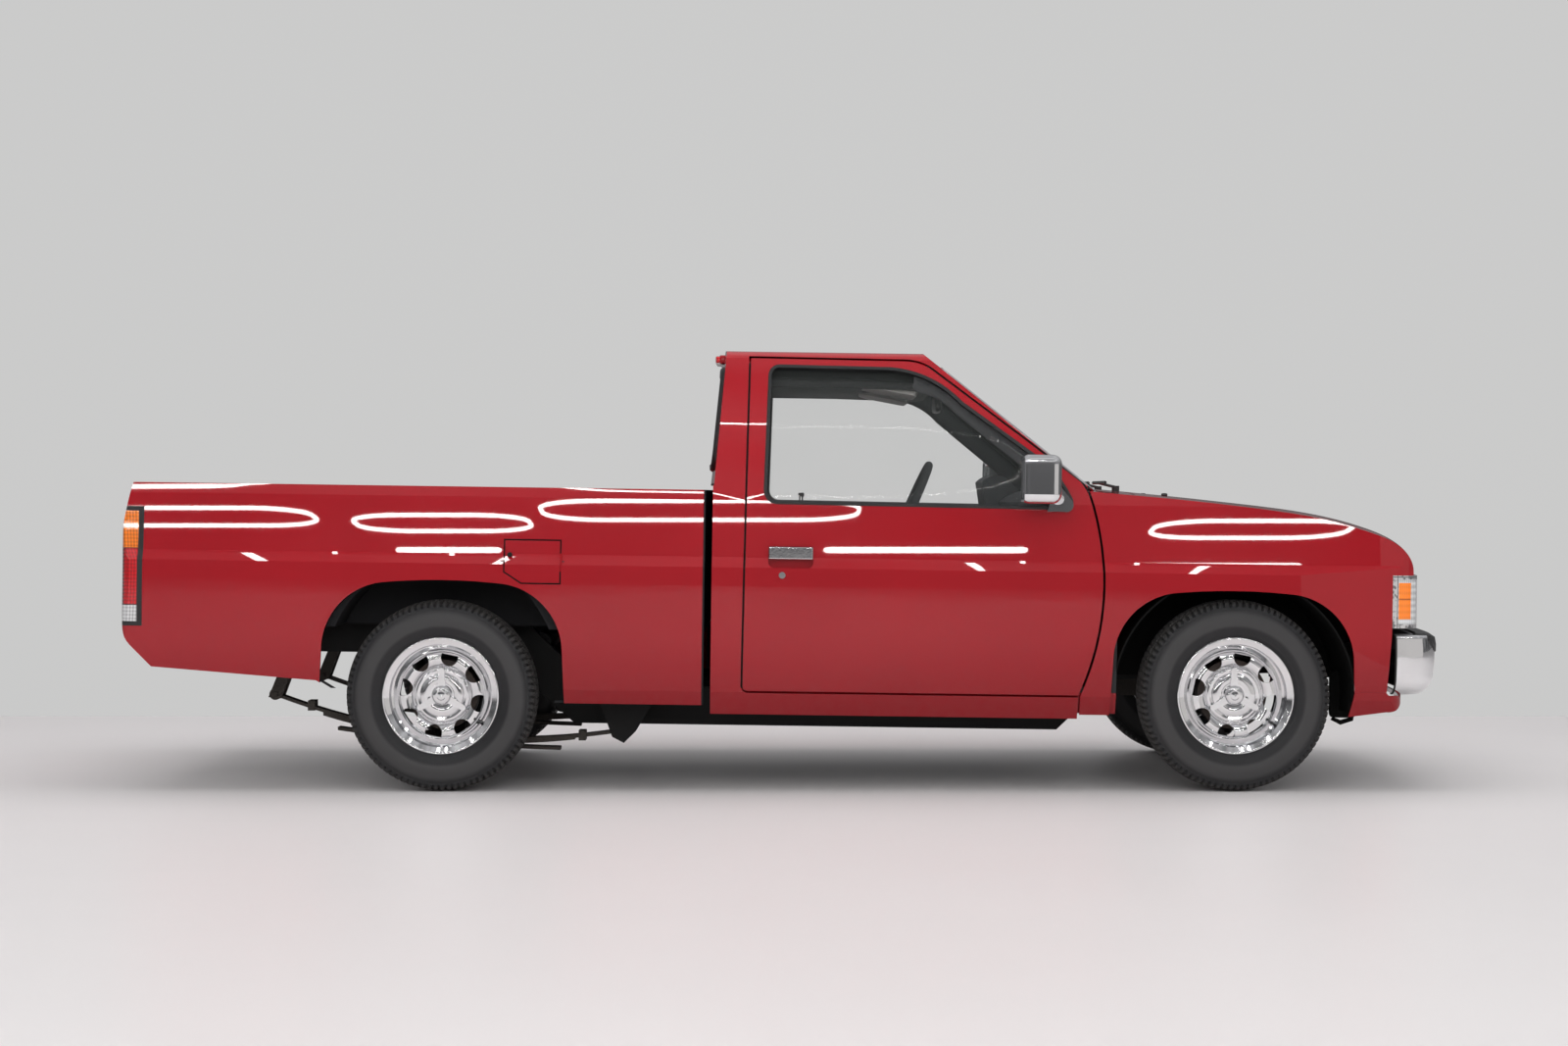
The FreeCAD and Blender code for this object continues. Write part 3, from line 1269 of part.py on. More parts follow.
def hub_cap():
    """The centre cap: a dished disc, a round boss and three wings."""
    disc = turned((19, 0), (19, 90), ((32, 90), (35, 82)), (34, 74), (40, 70), ((44, 55), (42, 40)), (40, 0))
    boss = turned((38, 0), (38, 34), (54, 33), ((62, 28), (66, 14)), (67, 0))
    wings = []
    for turn in (0, 120, 240):
        blade = closed(xz, (-13, 24), (-9, 84), ((0, 92), (9, 84)), (13, 24))
        wing = along_y(blade, -56, -30)
        wing.rotate(Vector(0, 0, 0), Vector(0, 1, 0), turn)
        wings.append(wing)
    return fuse([disc, boss] + wings)


def wheel_rim():
    """Barrel, pierced disc, cap, and the brake drum and hub that turn with it."""
    disc = rim_disc()
    for k in range(RIM_WINDOWS):
        disc = disc.cut(rim_window(12 + 360 / RIM_WINDOWS * k))
    drum = turned((12, 0), (12, 70), (0, 116), (-DRUM_BACK, 118), (-DRUM_BACK, 108), (-10, 106), (-6, 60),
                  (-HUB_BACK, 34), (-HUB_BACK, 0))
    barrel = rim_barrel()
    return fuse([barrel, disc, hub_cap(), drum])


def tyre():
    """A hollow tyre standing on the rim's seats, with its plain tread left smooth."""
    half = TYRE_WIDTH / 2
    seat = RIM_WIDTH / 2 - 14
    bead = RIM_RADIUS - 17 + SEAT_GAP
    lip = RIM_WIDTH / 2 - 7 + SEAT_GAP
    top = TYRE_RADIUS
    return turned(
        (seat - 22, bead),
        (seat - 2, bead),
        (seat + 2, bead + 6),
        (seat + 4, RIM_RADIUS + 2),
        (lip + 7, RIM_RADIUS + 2),
        ((half, 246), (half - 8, 290)),
        ((half - 12, 306), (half - 21, top - 6)),
        ((0, top), (-half + 21, top - 6)),
        ((-half + 12, 306), (-half + 8, 290)),
        ((-half, 246), (-lip - 7, RIM_RADIUS + 2)),
        (-seat - 4, RIM_RADIUS + 2),
        (-seat - 2, bead + 6),
        (-seat + 2, bead),
        (-seat + 22, bead),
        (-seat + 8, bead + 14),
        ((-half + 11, 246), (-half + 20, 286)),
        ((-half + 26, 300), (-half + 40, top - 16)),
        ((0, top - 12), (half - 40, top - 16)),
        ((half - 26, 300), (half - 20, 286)),
        ((half - 11, 246), (seat - 8, bead + 14)),
    )


def wheel_set(shape):
    """A shape drawn about Y, placed at each of the four wheels by name."""
    placed = {}
    for name, x in (("front", FX), ("rear", RX)):
        right = shape.copy()
        right.translate(Vector(x, -TRACK_HALF, HUB_Z))
        placed[name + "_right"] = right
        placed[name + "_left"] = mirrored(right)
    return placed


# Writing the files

def body_nodes():
    """Everything drawn on the level body, by name."""
    shell = door()
    glass = door_glass()
    bright = door_brightwork()
    nodes = {
        "frame": frame(),
        "cab_shell": cab_shell(),
        "windshield": windshield(),
        "rear_window": rear_window(),
        "door_right": shell,
        "door_left": mirrored(shell),
        "door_glass_right": glass,
        "door_glass_left": mirrored(glass),
        "mirror_and_handle_right": bright,
        "mirror_and_handle_left": mirrored(bright),
        "hood": hood(),
        "front_fenders": front_fenders(),
        "inner_wings": inner_wings(),
        "front_valance": front_valance(),
        "front_bumper": front_bumper(),
        "grille": grille(),
        "front_lamps": front_lamps(),
        "wipers": Part.Compound(wipers()),
        "dashboard": dashboard(),
        "steering_wheel": steering_wheel(),
        "bench_seat": seat_on_floor(),
        "bed": bed(),
        "tail_lamps": tail_lamps(),
        "tailgate": tailgate(),
        "fuel_flap": fuel_flap(),
        "engine": engine(),
        "exhaust": exhaust(),
        "fuel_tank": fuel_tank(),
    }
    return nodes


def ground_nodes():
    """Everything that stands level with the ground, by name."""
    right = knuckle()
    nodes = {
        "rear_axle": rear_axle(),
        "leaf_springs": leaf_springs(),
        "propeller_shaft": propeller_shaft(),
        "control_arms": control_arms(),
        "knuckle_right": right,
        "knuckle_left": mirrored(right),
        "steering_rod": steering_rod(),
    }
    nodes.update({"rim_" + name: shape for name, shape in wheel_set(wheel_rim()).items()})
    nodes.update({"tyre_" + name: shape for name, shape in wheel_set(tyre()).items()})
    return nodes


def main():
    os.makedirs("parts", exist_ok=True)
    nodes = {}
    for name, shape in body_nodes().items():
        tipped = shape.copy()
        tipped.rotate(Vector(RX, 0, HUB_Z), Vector(0, 1, 0), RAKE_DEG)
        nodes[name] = tipped
    nodes.update(ground_nodes())
    whole = Part.Compound(list(nodes.values())).BoundBox
    middle = Vector(-(whole.XMin + whole.XMax) / 2, 0, 0)
    for name, shape in nodes.items():
        shape.translate(middle)
        shape.exportStep("parts/%s.step" % name)


if __name__ == "__main__":
    main()
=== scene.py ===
"""The looks of a compact two-door pickup truck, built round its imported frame.

X points forward, Y to the truck's left and Z up, in metres. The body is measured level and then tipped
nose-down about the rear axle, as the frame is.
"""

import math

import bmesh
import bpy
import numpy as np
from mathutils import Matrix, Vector


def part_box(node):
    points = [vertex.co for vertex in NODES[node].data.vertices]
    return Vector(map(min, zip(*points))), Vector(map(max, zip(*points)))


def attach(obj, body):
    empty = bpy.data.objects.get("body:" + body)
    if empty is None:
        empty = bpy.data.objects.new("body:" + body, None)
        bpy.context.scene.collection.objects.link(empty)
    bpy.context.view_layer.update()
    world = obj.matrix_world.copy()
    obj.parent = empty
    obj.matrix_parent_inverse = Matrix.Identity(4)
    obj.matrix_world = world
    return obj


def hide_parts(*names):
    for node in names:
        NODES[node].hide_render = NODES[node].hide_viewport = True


bl_info = {
    "name": "Compact pickup truck",
    "version": (1, 0, 0),
    "blender": (4, 5, 0),
    "location": "3D View > Sidebar > Truck",
    "description": "Builds the paint, tyres, trim, lamps, cabin and stage of a compact pickup truck",
    "category": "Object",
}

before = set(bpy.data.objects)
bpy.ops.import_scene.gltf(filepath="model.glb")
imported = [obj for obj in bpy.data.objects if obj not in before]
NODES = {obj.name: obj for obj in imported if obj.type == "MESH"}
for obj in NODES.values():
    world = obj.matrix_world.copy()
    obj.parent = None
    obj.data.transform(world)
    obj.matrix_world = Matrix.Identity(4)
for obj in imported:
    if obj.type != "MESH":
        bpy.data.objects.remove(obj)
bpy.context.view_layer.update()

# The frame's own stations, in metres
AXLE_FRONT = 1.4985
AXLE_REAR = -1.1515
HUB_Z = 0.319
TAIL_X = -2.215
RAKE = math.radians(0.8)
SHIFT = sum(c[0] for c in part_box("tyre_rear_right")) / 2 - AXLE_REAR
HALF_WIDTH = 0.825
BELT_Z = 0.985
TRACK_HALF = 0.697

AXLES = (("front", AXLE_FRONT), ("rear", AXLE_REAR))
BOTH = (("right", -1.0), ("left", 1.0))
UP = (0.0, 0.0, 1.0)
BLACK = (0.0, 0.0, 0.0)


# Sizes and colours that a user would change

def size(name, default, text):
    return bpy.props.FloatProperty(name=name, default=default, description=text, unit="LENGTH", precision=4)


def colour(name, default, text):
    return bpy.props.FloatVectorProperty(name=name, default=default, description=text, subtype="COLOR",
                                         size=3, min=0.0, max=1.0)


class TruckSizes(bpy.types.PropertyGroup):
    """Sizes of the pieces that the looks add."""
    tyre_radius: size("Tyre radius", 0.319, "From the axle to the tread's crown")
    tyre_half: size("Tyre half width", 0.099, "From the tyre's middle to the widest part of its side")
    groove_depth: size("Tread groove depth", 0.0075, "Depth of the grooves round the tread")
    seal_width: size("Window seal width", 0.019, "Width of the rubber round the side windows")
    trim_width: size("Bright trim width", 0.011, "Width of the bright strip round the windshield")
    camera_height: size("Camera height", 0.995, "Height of the camera above the ground")
    camera_distance: size("Camera distance", 10.300, "From the camera to the truck's middle")


class TruckColours(bpy.types.PropertyGroup):
    """Colours of the finishes."""
    paint: colour("Paint", (0.318, 0.0008, 0.0070), "The body's red paint")
    chrome: colour("Chrome", (0.83, 0.83, 0.84), "Bumper, wheels, mirrors and handles")
    rubber: colour("Rubber", (0.013, 0.013, 0.014), "Tyres and seals")
    plastic: colour("Plastic", (0.020, 0.020, 0.021), "Grille, wipers and filler strips")
    trim: colour("Cabin trim", (0.045, 0.046, 0.050), "Dashboard and door cards")
    cloth: colour("Seat cloth", (0.115, 0.115, 0.125), "The bench's woven cloth")
    amber: colour("Amber lens", (0.86, 0.20, 0.008), "Turn lamps")
    ruby: colour("Red lens", (0.55, 0.004, 0.010), "Tail and brake lamps")
    wall: colour("Wall", (0.600, 0.600, 0.597), "The backdrop")
    floor: colour("Floor", (0.635, 0.612, 0.618), "The floor")


def sizes():
    return bpy.context.scene.truck_sizes


def colours():
    return bpy.context.scene.truck_colours


# Shader maths

class Term:
    """A socket of a shader, which ordinary operators join into Math nodes."""

    def __init__(self, finish, socket):
        self.finish = finish
        self.socket = socket

    def output(self, which):
        """Another output of the same node."""
        return Term(self.finish, self.socket.node.outputs[which])

    def __add__(self, other):
        return self.finish.maths("ADD", self, other)

    __radd__ = __add__

    def __mul__(self, other):
        return self.finish.maths("MULTIPLY", self, other)

    __rmul__ = __mul__

    def __sub__(self, other):
        return self.finish.maths("SUBTRACT", self, other)

    def __rsub__(self, other):
        return self.finish.maths("SUBTRACT", other, self)

    def __truediv__(self, other):
        return self.finish.maths("DIVIDE", self, other)

    def __pow__(self, other):
        return self.finish.maths("POWER", self, other)

    def above(self, other):
        return self.finish.maths("GREATER_THAN", self, other)

    def below(self, other):
        return self.finish.maths("LESS_THAN", self, other)

    def size(self):
        return self.finish.maths("ABSOLUTE", self)

    def most(self, other):
        return self.finish.maths("MAXIMUM", self, other)

    def least(self, other):
        return self.finish.maths("MINIMUM", self, other)

    def clamped(self):
        return self.most(0.0).least(1.0)

    def between(self, low, high):
        return self.above(low) * self.below(high)

    def ramp(self, low, high):
        """Rises from 0 at low to 1 at high."""
        return ((self - low) / (high - low)).clamped()


class Graph:
    """The nodes of a material or of the world, which all come from add."""

    def __init__(self, owner, ending):
        owner.use_nodes = True
        self.tree = owner.node_tree
        self.tree.nodes.clear()
        self.ending = self.add(ending, out=None)
        self.coordinates = self.add("ShaderNodeTexCoord")

    def set(self, socket, value):
        if isinstance(value, Term):
            self.tree.links.new(value.socket, socket)
        elif isinstance(value, (tuple, list)) and len(value) == 3 and socket.type == "RGBA":
            socket.default_value = (*value, 1.0)
        else:
            socket.default_value = value

    def add(self, kind, settings=None, values=None, out=0):
        """A node of a type, with its settings and ramp stops and then its sockets' values or links."""
        node = self.tree.nodes.new(kind)
        for name, value in (settings or {}).items():
            if name == "stops":
                for stop, (position, tone) in zip(node.color_ramp.elements, value):
                    stop.position, stop.color = position, (*tone, 1.0)
            else:
                setattr(node, name, value)
        for name, value in (values or {}).items():
            self.set(node.inputs[name], value)
        return node if out is None else Term(self, node.outputs[out])

    def maths(self, operation, *terms):
        return self.add("ShaderNodeMath", {"operation": operation}, dict(enumerate(terms)))

    def mix(self, factor, first, second):
        return self.add("ShaderNodeMix", {"data_type": "RGBA"}, {0: factor, 6: first, 7: second}, 2)

    def join(self, shader):
        self.tree.links.new(shader.socket, self.ending.inputs[0])

    def split(self, vector):
        first = self.add("ShaderNodeSeparateXYZ", None, {0: vector})
        return [first.output(k) for k in range(3)]


class Finish(Graph):
    """One procedural material."""

    def __init__(self, name):
        self.material = bpy.data.materials.new(name)
        super().__init__(self.material, "ShaderNodeOutputMaterial")

    def place(self):
        return self.coordinates.output("Object")

    def facing(self):
        return self.coordinates.output("Normal")

    def noise(self, scale, detail):
        values = {"Vector": self.place(), "Scale": scale, "Detail": detail, "Roughness": 0.5}
        return self.add("ShaderNodeTexNoise", None, values)

    def wave(self, angle):
        """A sine that runs between 0 and 1."""
        return self.maths("SINE", angle) * 0.5 + 0.5

    def bump(self, height, distance):
        return self.add("ShaderNodeBump", None, {"Height": height, "Distance": distance, "Strength": 1.0})

    def from_hub(self):
        """How far a point of a wheel lies from its own axle."""
        x, _, z = self.split(self.place())
        centre = AXLE_REAR + SHIFT + x.above(0.2) * (AXLE_FRONT - AXLE_REAR)
        return ((x - centre) ** 2.0 + (z - HUB_Z) ** 2.0) ** 0.5

    def level(self):
        """Station, side and height on the level body, with the rake taken back out of the place."""
        x, y, z = self.split(self.place())
        flat_x = (x - (AXLE_REAR + SHIFT)) * math.cos(RAKE) - (z - HUB_Z) * math.sin(RAKE) + AXLE_REAR
        flat_z = (x - (AXLE_REAR + SHIFT)) * math.sin(RAKE) + (z - HUB_Z) * math.cos(RAKE) + HUB_Z
        return flat_x, y, flat_z

    def surface(self, **values):
        """The Principled shader with its constants and links, joined to the output."""
        self.join(self.add("ShaderNodeBsdfPrincipled", None, values))


FINISHES = {}


def finish(name):
    """A material by name, made the first time that it is asked for."""
    if name not in FINISHES:
        FINISHES[name] = RECIPES[name](name)
    return FINISHES[name]


def times(shade, factor):
    """A colour made darker or lighter, and no brighter than white."""
    return tuple(min(1.0, c * factor) for c in shade)


def painted(name, hidden=None, hidden_colour=(0.012, 0.012, 0.013)):
    """Deep red enamel with orange peel under a clear coat and painted shade low; hidden gives where a plain
    finish shows.
    """
    f = Finish(name)
    red = colours().paint
    cloud = f.noise(2.3, 3.0)
    base = f.mix(cloud, tuple(red), times(red, 0.80))
    _, _, z = f.split(f.place())
    dust = (1.0 - z.ramp(0.22, 0.42)) * f.noise(38.0, 4.0) * 0.10
    base = f.mix(dust, base, (0.30, 0.26, 0.24))
    # Painted shade: towards the bottom the paint is darkened and its clear coat thinned, in place of real
    # shade.
    low = 1.0 - z.ramp(0.27, 0.52)
    base = f.mix(low * 0.32, base, (0.060, 0.0008, 0.0030))
    peel = f.noise(420.0, 2.0) + f.noise(95.0, 1.0) * 1.6
    rough = 0.30 + dust * 1.6
    # The coat thinned low down is part of the same painted shade.
    coat = 1.0 - dust * 2.0 - low * 0.55
    if hidden:
        mask = hidden(f)
        grain = f.noise(620.0, 3.0)
        base = f.mix(mask, base, f.mix(grain, hidden_colour, times(hidden_colour, 1.7)))
        rough = rough + mask * 0.42
        coat = coat * (1.0 - mask)
    f.surface(**{"Base Color": base, "Roughness": rough, "Metallic": 0.0, "Coat Weight": coat,
                 "Coat Roughness": 0.012, "Coat IOR": 1.50, "Specular IOR Level": 0.10,
                 "Normal": f.bump(peel, 0.00005)})
    return f.material


def side_at(f, z):
    """Half the body's width at a height of the level body."""
    rise = (z - BELT_Z).most(0.0)
    fall = (BELT_Z - z).most(0.0)
    tuck = (0.70 - z).most(0.0) * 0.035 + (0.53 - z).most(0.0) * 0.055
    upper = 0.798 - rise * 0.261 - rise * rise * 0.205
    return upper + (fall * 0.069).least(0.013) + z.below(0.775) * 0.014 - tuck


def turned_in(f, y):
    """Where a surface faces the body's middle, downwards or neither: masks for inward and outward faces."""
    _, ny, nz = f.split(f.facing())
    return (ny * y).below(-0.05).most(nz.below(-0.3)), (ny * y).above(0.3)


def inside_cab_and_gap_shade(f):
    """What lies within the cab's skin, such as lining, pillars and floor, and the cab's underside, with
    painted shade in its gaps.
    """
    x, y, z = f.level()
    inward, outward = turned_in(f, y)
    within = y.size().below(side_at(f, z) - 0.034) * z.below(1.468) * x.between(-0.222, 1.05) * z.above(0.40)
    glass = (x - 1.04) * 0.611 + (z - 1.033) * 0.792
    within = within * glass.below(-0.016)
    frame_inside = inward * z.above(BELT_Z) * x.above(-0.22)
    # Painted shade: faces sunk more than 7 mm under the skin, as in the door gaps, are darkened.
    seat = outward * y.size().below(side_at(f, z) - 0.007) * z.between(0.36, 1.45)
    under = z.below(0.402) * y.size().below(0.755)
    # Painted shade: the cab's back below the bed's top, which faces the bed, is darkened.
    nx, _, _ = f.split(f.facing())
    behind = nx.below(-0.7) * z.below(1.04)
    return within.most(under).most(behind).most(frame_inside).most(seat)


def inside_door(f):
    """The door card and the inner side of the window frame."""
    x, y, z = f.level()
    inward, _ = turned_in(f, y)
    card = y.size().below(side_at(f, z) - 0.085) * z.below(0.99)
    rim = y.size().below(side_at(f, z) - 0.021).most(inward) * z.above(BELT_Z)
    return card.most(rim)


def inside_fender(f):
    """The inner side of the fenders."""
    _, y, _ = f.split(f.place())
    _, ny, nz = f.split(f.facing())
    inward = (ny * y).below(-0.15)
    return inward.most(nz.below(-0.6))


def under_bed_and_gap_shade(f):
    """The bed's underside, insides of its skirts and wheel houses, and painted shade on its front and in the
    fuel flap's recess.
    """
    x, y, z = f.level()
    low = z.below(0.548) * y.size().below(0.775) * x.above(-2.15)
    radius = ((x - AXLE_REAR) ** 2.0 + (z - 0.398) ** 2.0) ** 0.5
    well = radius.below(0.390).most(radius.below(0.46) * y.size().above(0.77)) * y.size().below(0.808)
    nx, ny, _ = f.split(f.facing())
    skin = (ny * y).above(0.3) * y.size().above(0.775)
    # Painted shade: the bed's front wall, which faces the cab, is darkened.
    ahead = (nx.above(0.5) * x.above(-0.30)).most(x.above(-0.2825))
    # Painted shade: the fuel flap's recess in the bed's side is darkened.
    sunk = (ny * y).above(0.3) * y.size().below(side_at(f, z) - 0.004)
    recess = sunk * x.between(-0.955, -0.742) * y.below(0.0) * z.between(0.690, 0.852)
    return (low.most(well) * (1.0 - skin)).most(ahead).most(recess)


def behind_bumper(f):
    """The bumper's back and its irons, which aren't plated."""
    x, y, _ = f.level()
    nx, ny, _ = f.split(f.facing())
    return x.below(AXLE_FRONT + 0.5275).most((ny * y).below(-0.08)).most(nx.below(-0.3))


def chromed(name, hidden=None):
    """Bright plating with a trace of haze; hidden gives where bare dark iron shows."""
    f = Finish(name)
    bright = tuple(colours().chrome)
    haze = f.noise(14.0, 4.0)
    base = f.mix(haze, bright, times(bright, 0.93))
    mask = hidden(f) if hidden else 0.0
    if hidden:
        base = f.mix(mask, base, (0.012, 0.012, 0.012))
    f.surface(**{"Base Color": base, "Metallic": 1.0 - mask, "Roughness": 0.035 + haze * 0.05 + mask * 0.6,
                 "Normal": f.bump(f.noise(60.0, 2.0), 0.00005)})
    return f.material


def wheel_plating(name):
    """Chromed wheels with dark iron drums and painted shade inside the barrels, told apart by where they lie
    from each hub.
    """
    f = Finish(name)
    _, y, _ = f.split(f.place())
    radius = f.from_hub()
    drum = y.size().below(TRACK_HALF + 0.0135) * radius.below(0.121)
    # Painted shade: the barrel's inside, deep in the rim, is greyed and dulled.
    barrel_painted_shade = y.size().below(TRACK_HALF + 0.010) * radius.above(0.121) * radius.below(0.172)
    bright = tuple(colours().chrome)
    haze = f.noise(22.0, 4.0)
    base = f.mix(haze, bright, times(bright, 0.92))
    base = f.mix(drum, base, f.mix(f.noise(160.0, 4.0), (0.030, 0.026, 0.024), (0.085, 0.060, 0.048)))
    base = f.mix(barrel_painted_shade * 0.75, base, (0.16, 0.16, 0.165))
    f.surface(**{"Base Color": base, "Metallic": 1.0 - drum * 0.8 - barrel_painted_shade * 0.1,
                 "Roughness": 0.045 + haze * 0.05 + drum * 0.55 + barrel_painted_shade * 0.2,
                 "Normal": f.bump(f.noise(70.0, 2.0), 0.00006)})
    return f.material


def plain(name, shade, rough, grain=500.0, depth=0.0001, metal=0.0, spread=0.35, shine=0.5):
    """A finish of one tone broken by a fine grain."""
    f = Finish(name)
    shade = tuple(shade)
    texture = f.noise(grain, 4.0)
    broad = f.noise(6.0, 3.0)
    base = f.mix(texture, times(shade, 1 - spread), times(shade, 1 + spread))
    base = f.mix(broad * 0.4, base, times(shade, 0.7))
    f.surface(**{"Base Color": base, "Metallic": metal, "Roughness": rough + broad * 0.08,
                 "Specular IOR Level": shine, "Normal": f.bump(texture, depth)})
    return f.material


def tyre_rubber(name):
    """Black rubber: a little bloom on the side with a lighter band round its middle, dull and dusty on the
    tread.
    """
    f = Finish(name)
    radius = f.from_hub()
    tread = radius.ramp(0.300, 0.312)
    dark = tuple(colours().rubber)
    base = f.mix(f.noise(30.0, 5.0), dark, times(dark, 1.5))
    # The side is lighter in a band round its middle.
    belt = radius.ramp(0.226, 0.236) * (1.0 - radius.ramp(0.272, 0.288))
    base = f.mix(belt * 0.55, base, (0.062, 0.060, 0.061))
    base = f.mix(tread * (0.35 + f.noise(200.0, 3.0) * 0.4), base, (0.052, 0.049, 0.046))
    bands = f.maths("SINE", radius * 1800.0) * radius.between(0.215, 0.232)
    f.surface(**{"Base Color": base, "Roughness": 0.36 + tread * 0.32, "Specular IOR Level": 0.28,
                 "Normal": f.bump(f.noise(900.0, 3.0) + bands * 0.4, 0.00012)})
    return f.material


def glazing(name, tint=(0.26, 0.29, 0.28), body=0.02, edge=0.22):
    """Faintly green glass: clear face-on and mirror-like along the surface."""
    f = Finish(name)
    rim = f.add("ShaderNodeLayerWeight", None, {"Blend": 0.30}, 1)
    smear = f.noise(5.0, 4.0)
    alpha = (body + rim * edge + smear * 0.01).clamped()
    f.surface(**{"Base Color": f.mix(smear, tint, times(tint, 0.9)), "Roughness": 0.012 + smear * 0.02,
                 "Alpha": alpha, "Coat Weight": 0.6})
    return f.material


def moulded_lens(name, shade, pitch=900.0):
    """A coloured lens with fine upright flutes inside, glossy outside, with a faint painted glow."""
    f = Finish(name)
    shade = tuple(shade)
    x, y, z = f.split(f.place())
    flutes = f.wave((x + y) * pitch)
    rows = f.wave(z * pitch * 0.8)
    tone = flutes * 0.6 + rows * 0.4
    base = f.mix(tone, times(shade, 0.62), times(shade, 1.18))
    # Painted light: the unlit lens is given a faint glow of its own.
    glow = f.mix(tone, times(shade, 0.03), times(shade, 0.16))
    f.surface(**{"Base Color": base, "Roughness": 0.12 + tone * 0.12, "Coat Weight": 1.0,
                 "Coat Roughness": 0.02, "Emission Color": glow, "Emission Strength": 1.0,
                 "Normal": f.bump(tone, 0.00035)})
    return f.material


def tail_lens(name):
    """The tall tail lamp: amber above, red in the middle and clear at the foot, inside a black frame."""
    f = Finish(name)
    x, y, z = f.level()
    flutes = f.wave((x + y) * 620.0)
    rows = f.wave(z * 520.0)
    tone = flutes * 0.6 + rows * 0.4
    amber, ruby = tuple(colours().amber), tuple(colours().ruby)
    base = f.mix(z.above(0.799), ruby, amber)
    base = f.mix(z.below(0.611), base, (0.62, 0.62, 0.63))
    split = (z - 0.799).size().below(0.0013).most((z - 0.611).size().below(0.0013))
    border = x.above(TAIL_X + 0.0565).most(z.above(0.9225)).most(z.below(0.5560)).most(split)
    # The red is darker towards the lens's rear edge.
    deep = (1.0 - x.ramp(TAIL_X + 0.004, TAIL_X + 0.024)) * z.between(0.611, 0.799) * 0.5
    shaded = f.mix((tone * 0.65 + 0.35 - deep).clamped(), BLACK, base)
    look = f.mix(border, shaded, (0.014, 0.014, 0.015))
    # Painted light: the unlit lens glows faintly, except in its frame.
    glow = f.mix(border, f.mix(0.90, shaded, BLACK), BLACK)
    f.surface(**{"Base Color": look, "Roughness": 0.10 + tone * 0.1 + border * 0.35,
                 "Coat Weight": 1.0 - border, "Coat Roughness": 0.02, "Emission Color": glow,
                 "Emission Strength": 1.0, "Normal": f.bump(tone * (1.0 - border) - border * 1.2, 0.0005)})
    return f.material


def front_lens(name):
    """The front lamps: at each corner an amber turn lamp in a bright bezel with painted reflections, and a
    clear fluted lens.
    """
    f = Finish(name)
    x, y, z = f.level()
    flutes = f.wave(y * 520.0)
    rows = f.wave(z * 300.0)
    corner = y.size().above(0.742)
    turn = corner * x.between(2.030, 2.074) * z.between(0.620, 0.741)
    bar = (z - 0.6865).size().below(0.0022)
    bezel = corner * x.below(2.028).most(z.above(0.752)).most(z.below(0.604))
    seam = (z - 0.760).size().below(0.0020).most((x - 2.026).size().below(0.0012))
    # Painted reflection: dark blots on the bright bezel stand in for dark things that it mirrors.
    painted_reflections = f.noise(48.0, 2.0).ramp(0.50, 0.60) * 0.75
    grid = f.wave(x * 900.0) * 0.5 + rows * 0.5
    tone = f.mix(corner, flutes, grid)
    clear = f.mix(tone, (0.30, 0.31, 0.32), (0.72, 0.73, 0.74))
    amber = tuple(colours().amber)
    orange = f.mix(bar, f.mix(grid, times(amber, 0.75), amber), times(amber, 0.35))
    base = f.mix(turn, clear, orange)
    base = f.mix(bezel, base, f.mix(painted_reflections.most(seam * 0.85), tuple(colours().chrome), (0.10, 0.10, 0.105)))
    # Painted light: the unlit lamps glow faintly, the amber turn lamps most.
    glow = f.mix(turn, f.mix(0.96, clear, BLACK), f.mix(0.78, orange, BLACK))
    f.surface(**{"Base Color": base, "Metallic": bezel, "Roughness": 0.10 + grid * 0.08 - bezel * 0.06,
                 "Coat Weight": 1.0 - bezel, "Coat Roughness": 0.02, "Emission Color": glow,
                 "Emission Strength": 1.0, "Normal": f.bump(grid * (1.0 - bezel), 0.0006)})
    return f.material


def woven(name):
    """Woven seat cloth: two crossing sets of threads with a lighter fleck."""
    f = Finish(name)
    shade = tuple(colours().cloth)
    x, y, z = f.split(f.place())
    across = f.maths("SINE", y * 2600.0)
    along = f.maths("SINE", (x + z) * 2600.0)
    thread = across * along * 0.5 + 0.5
    fleck = f.noise(700.0, 2.0).ramp(0.62, 0.72)
    base = f.mix(thread, times(shade, 0.6), times(shade, 1.25))
    base = f.mix(fleck * 0.6, base, (0.26, 0.26, 0.29))
    f.surface(**{"Base Color": base, "Roughness": 0.92, "Sheen Weight": 0.3,
                 "Normal": f.bump(thread + fleck * 0.5, 0.0004)})
    return f.material


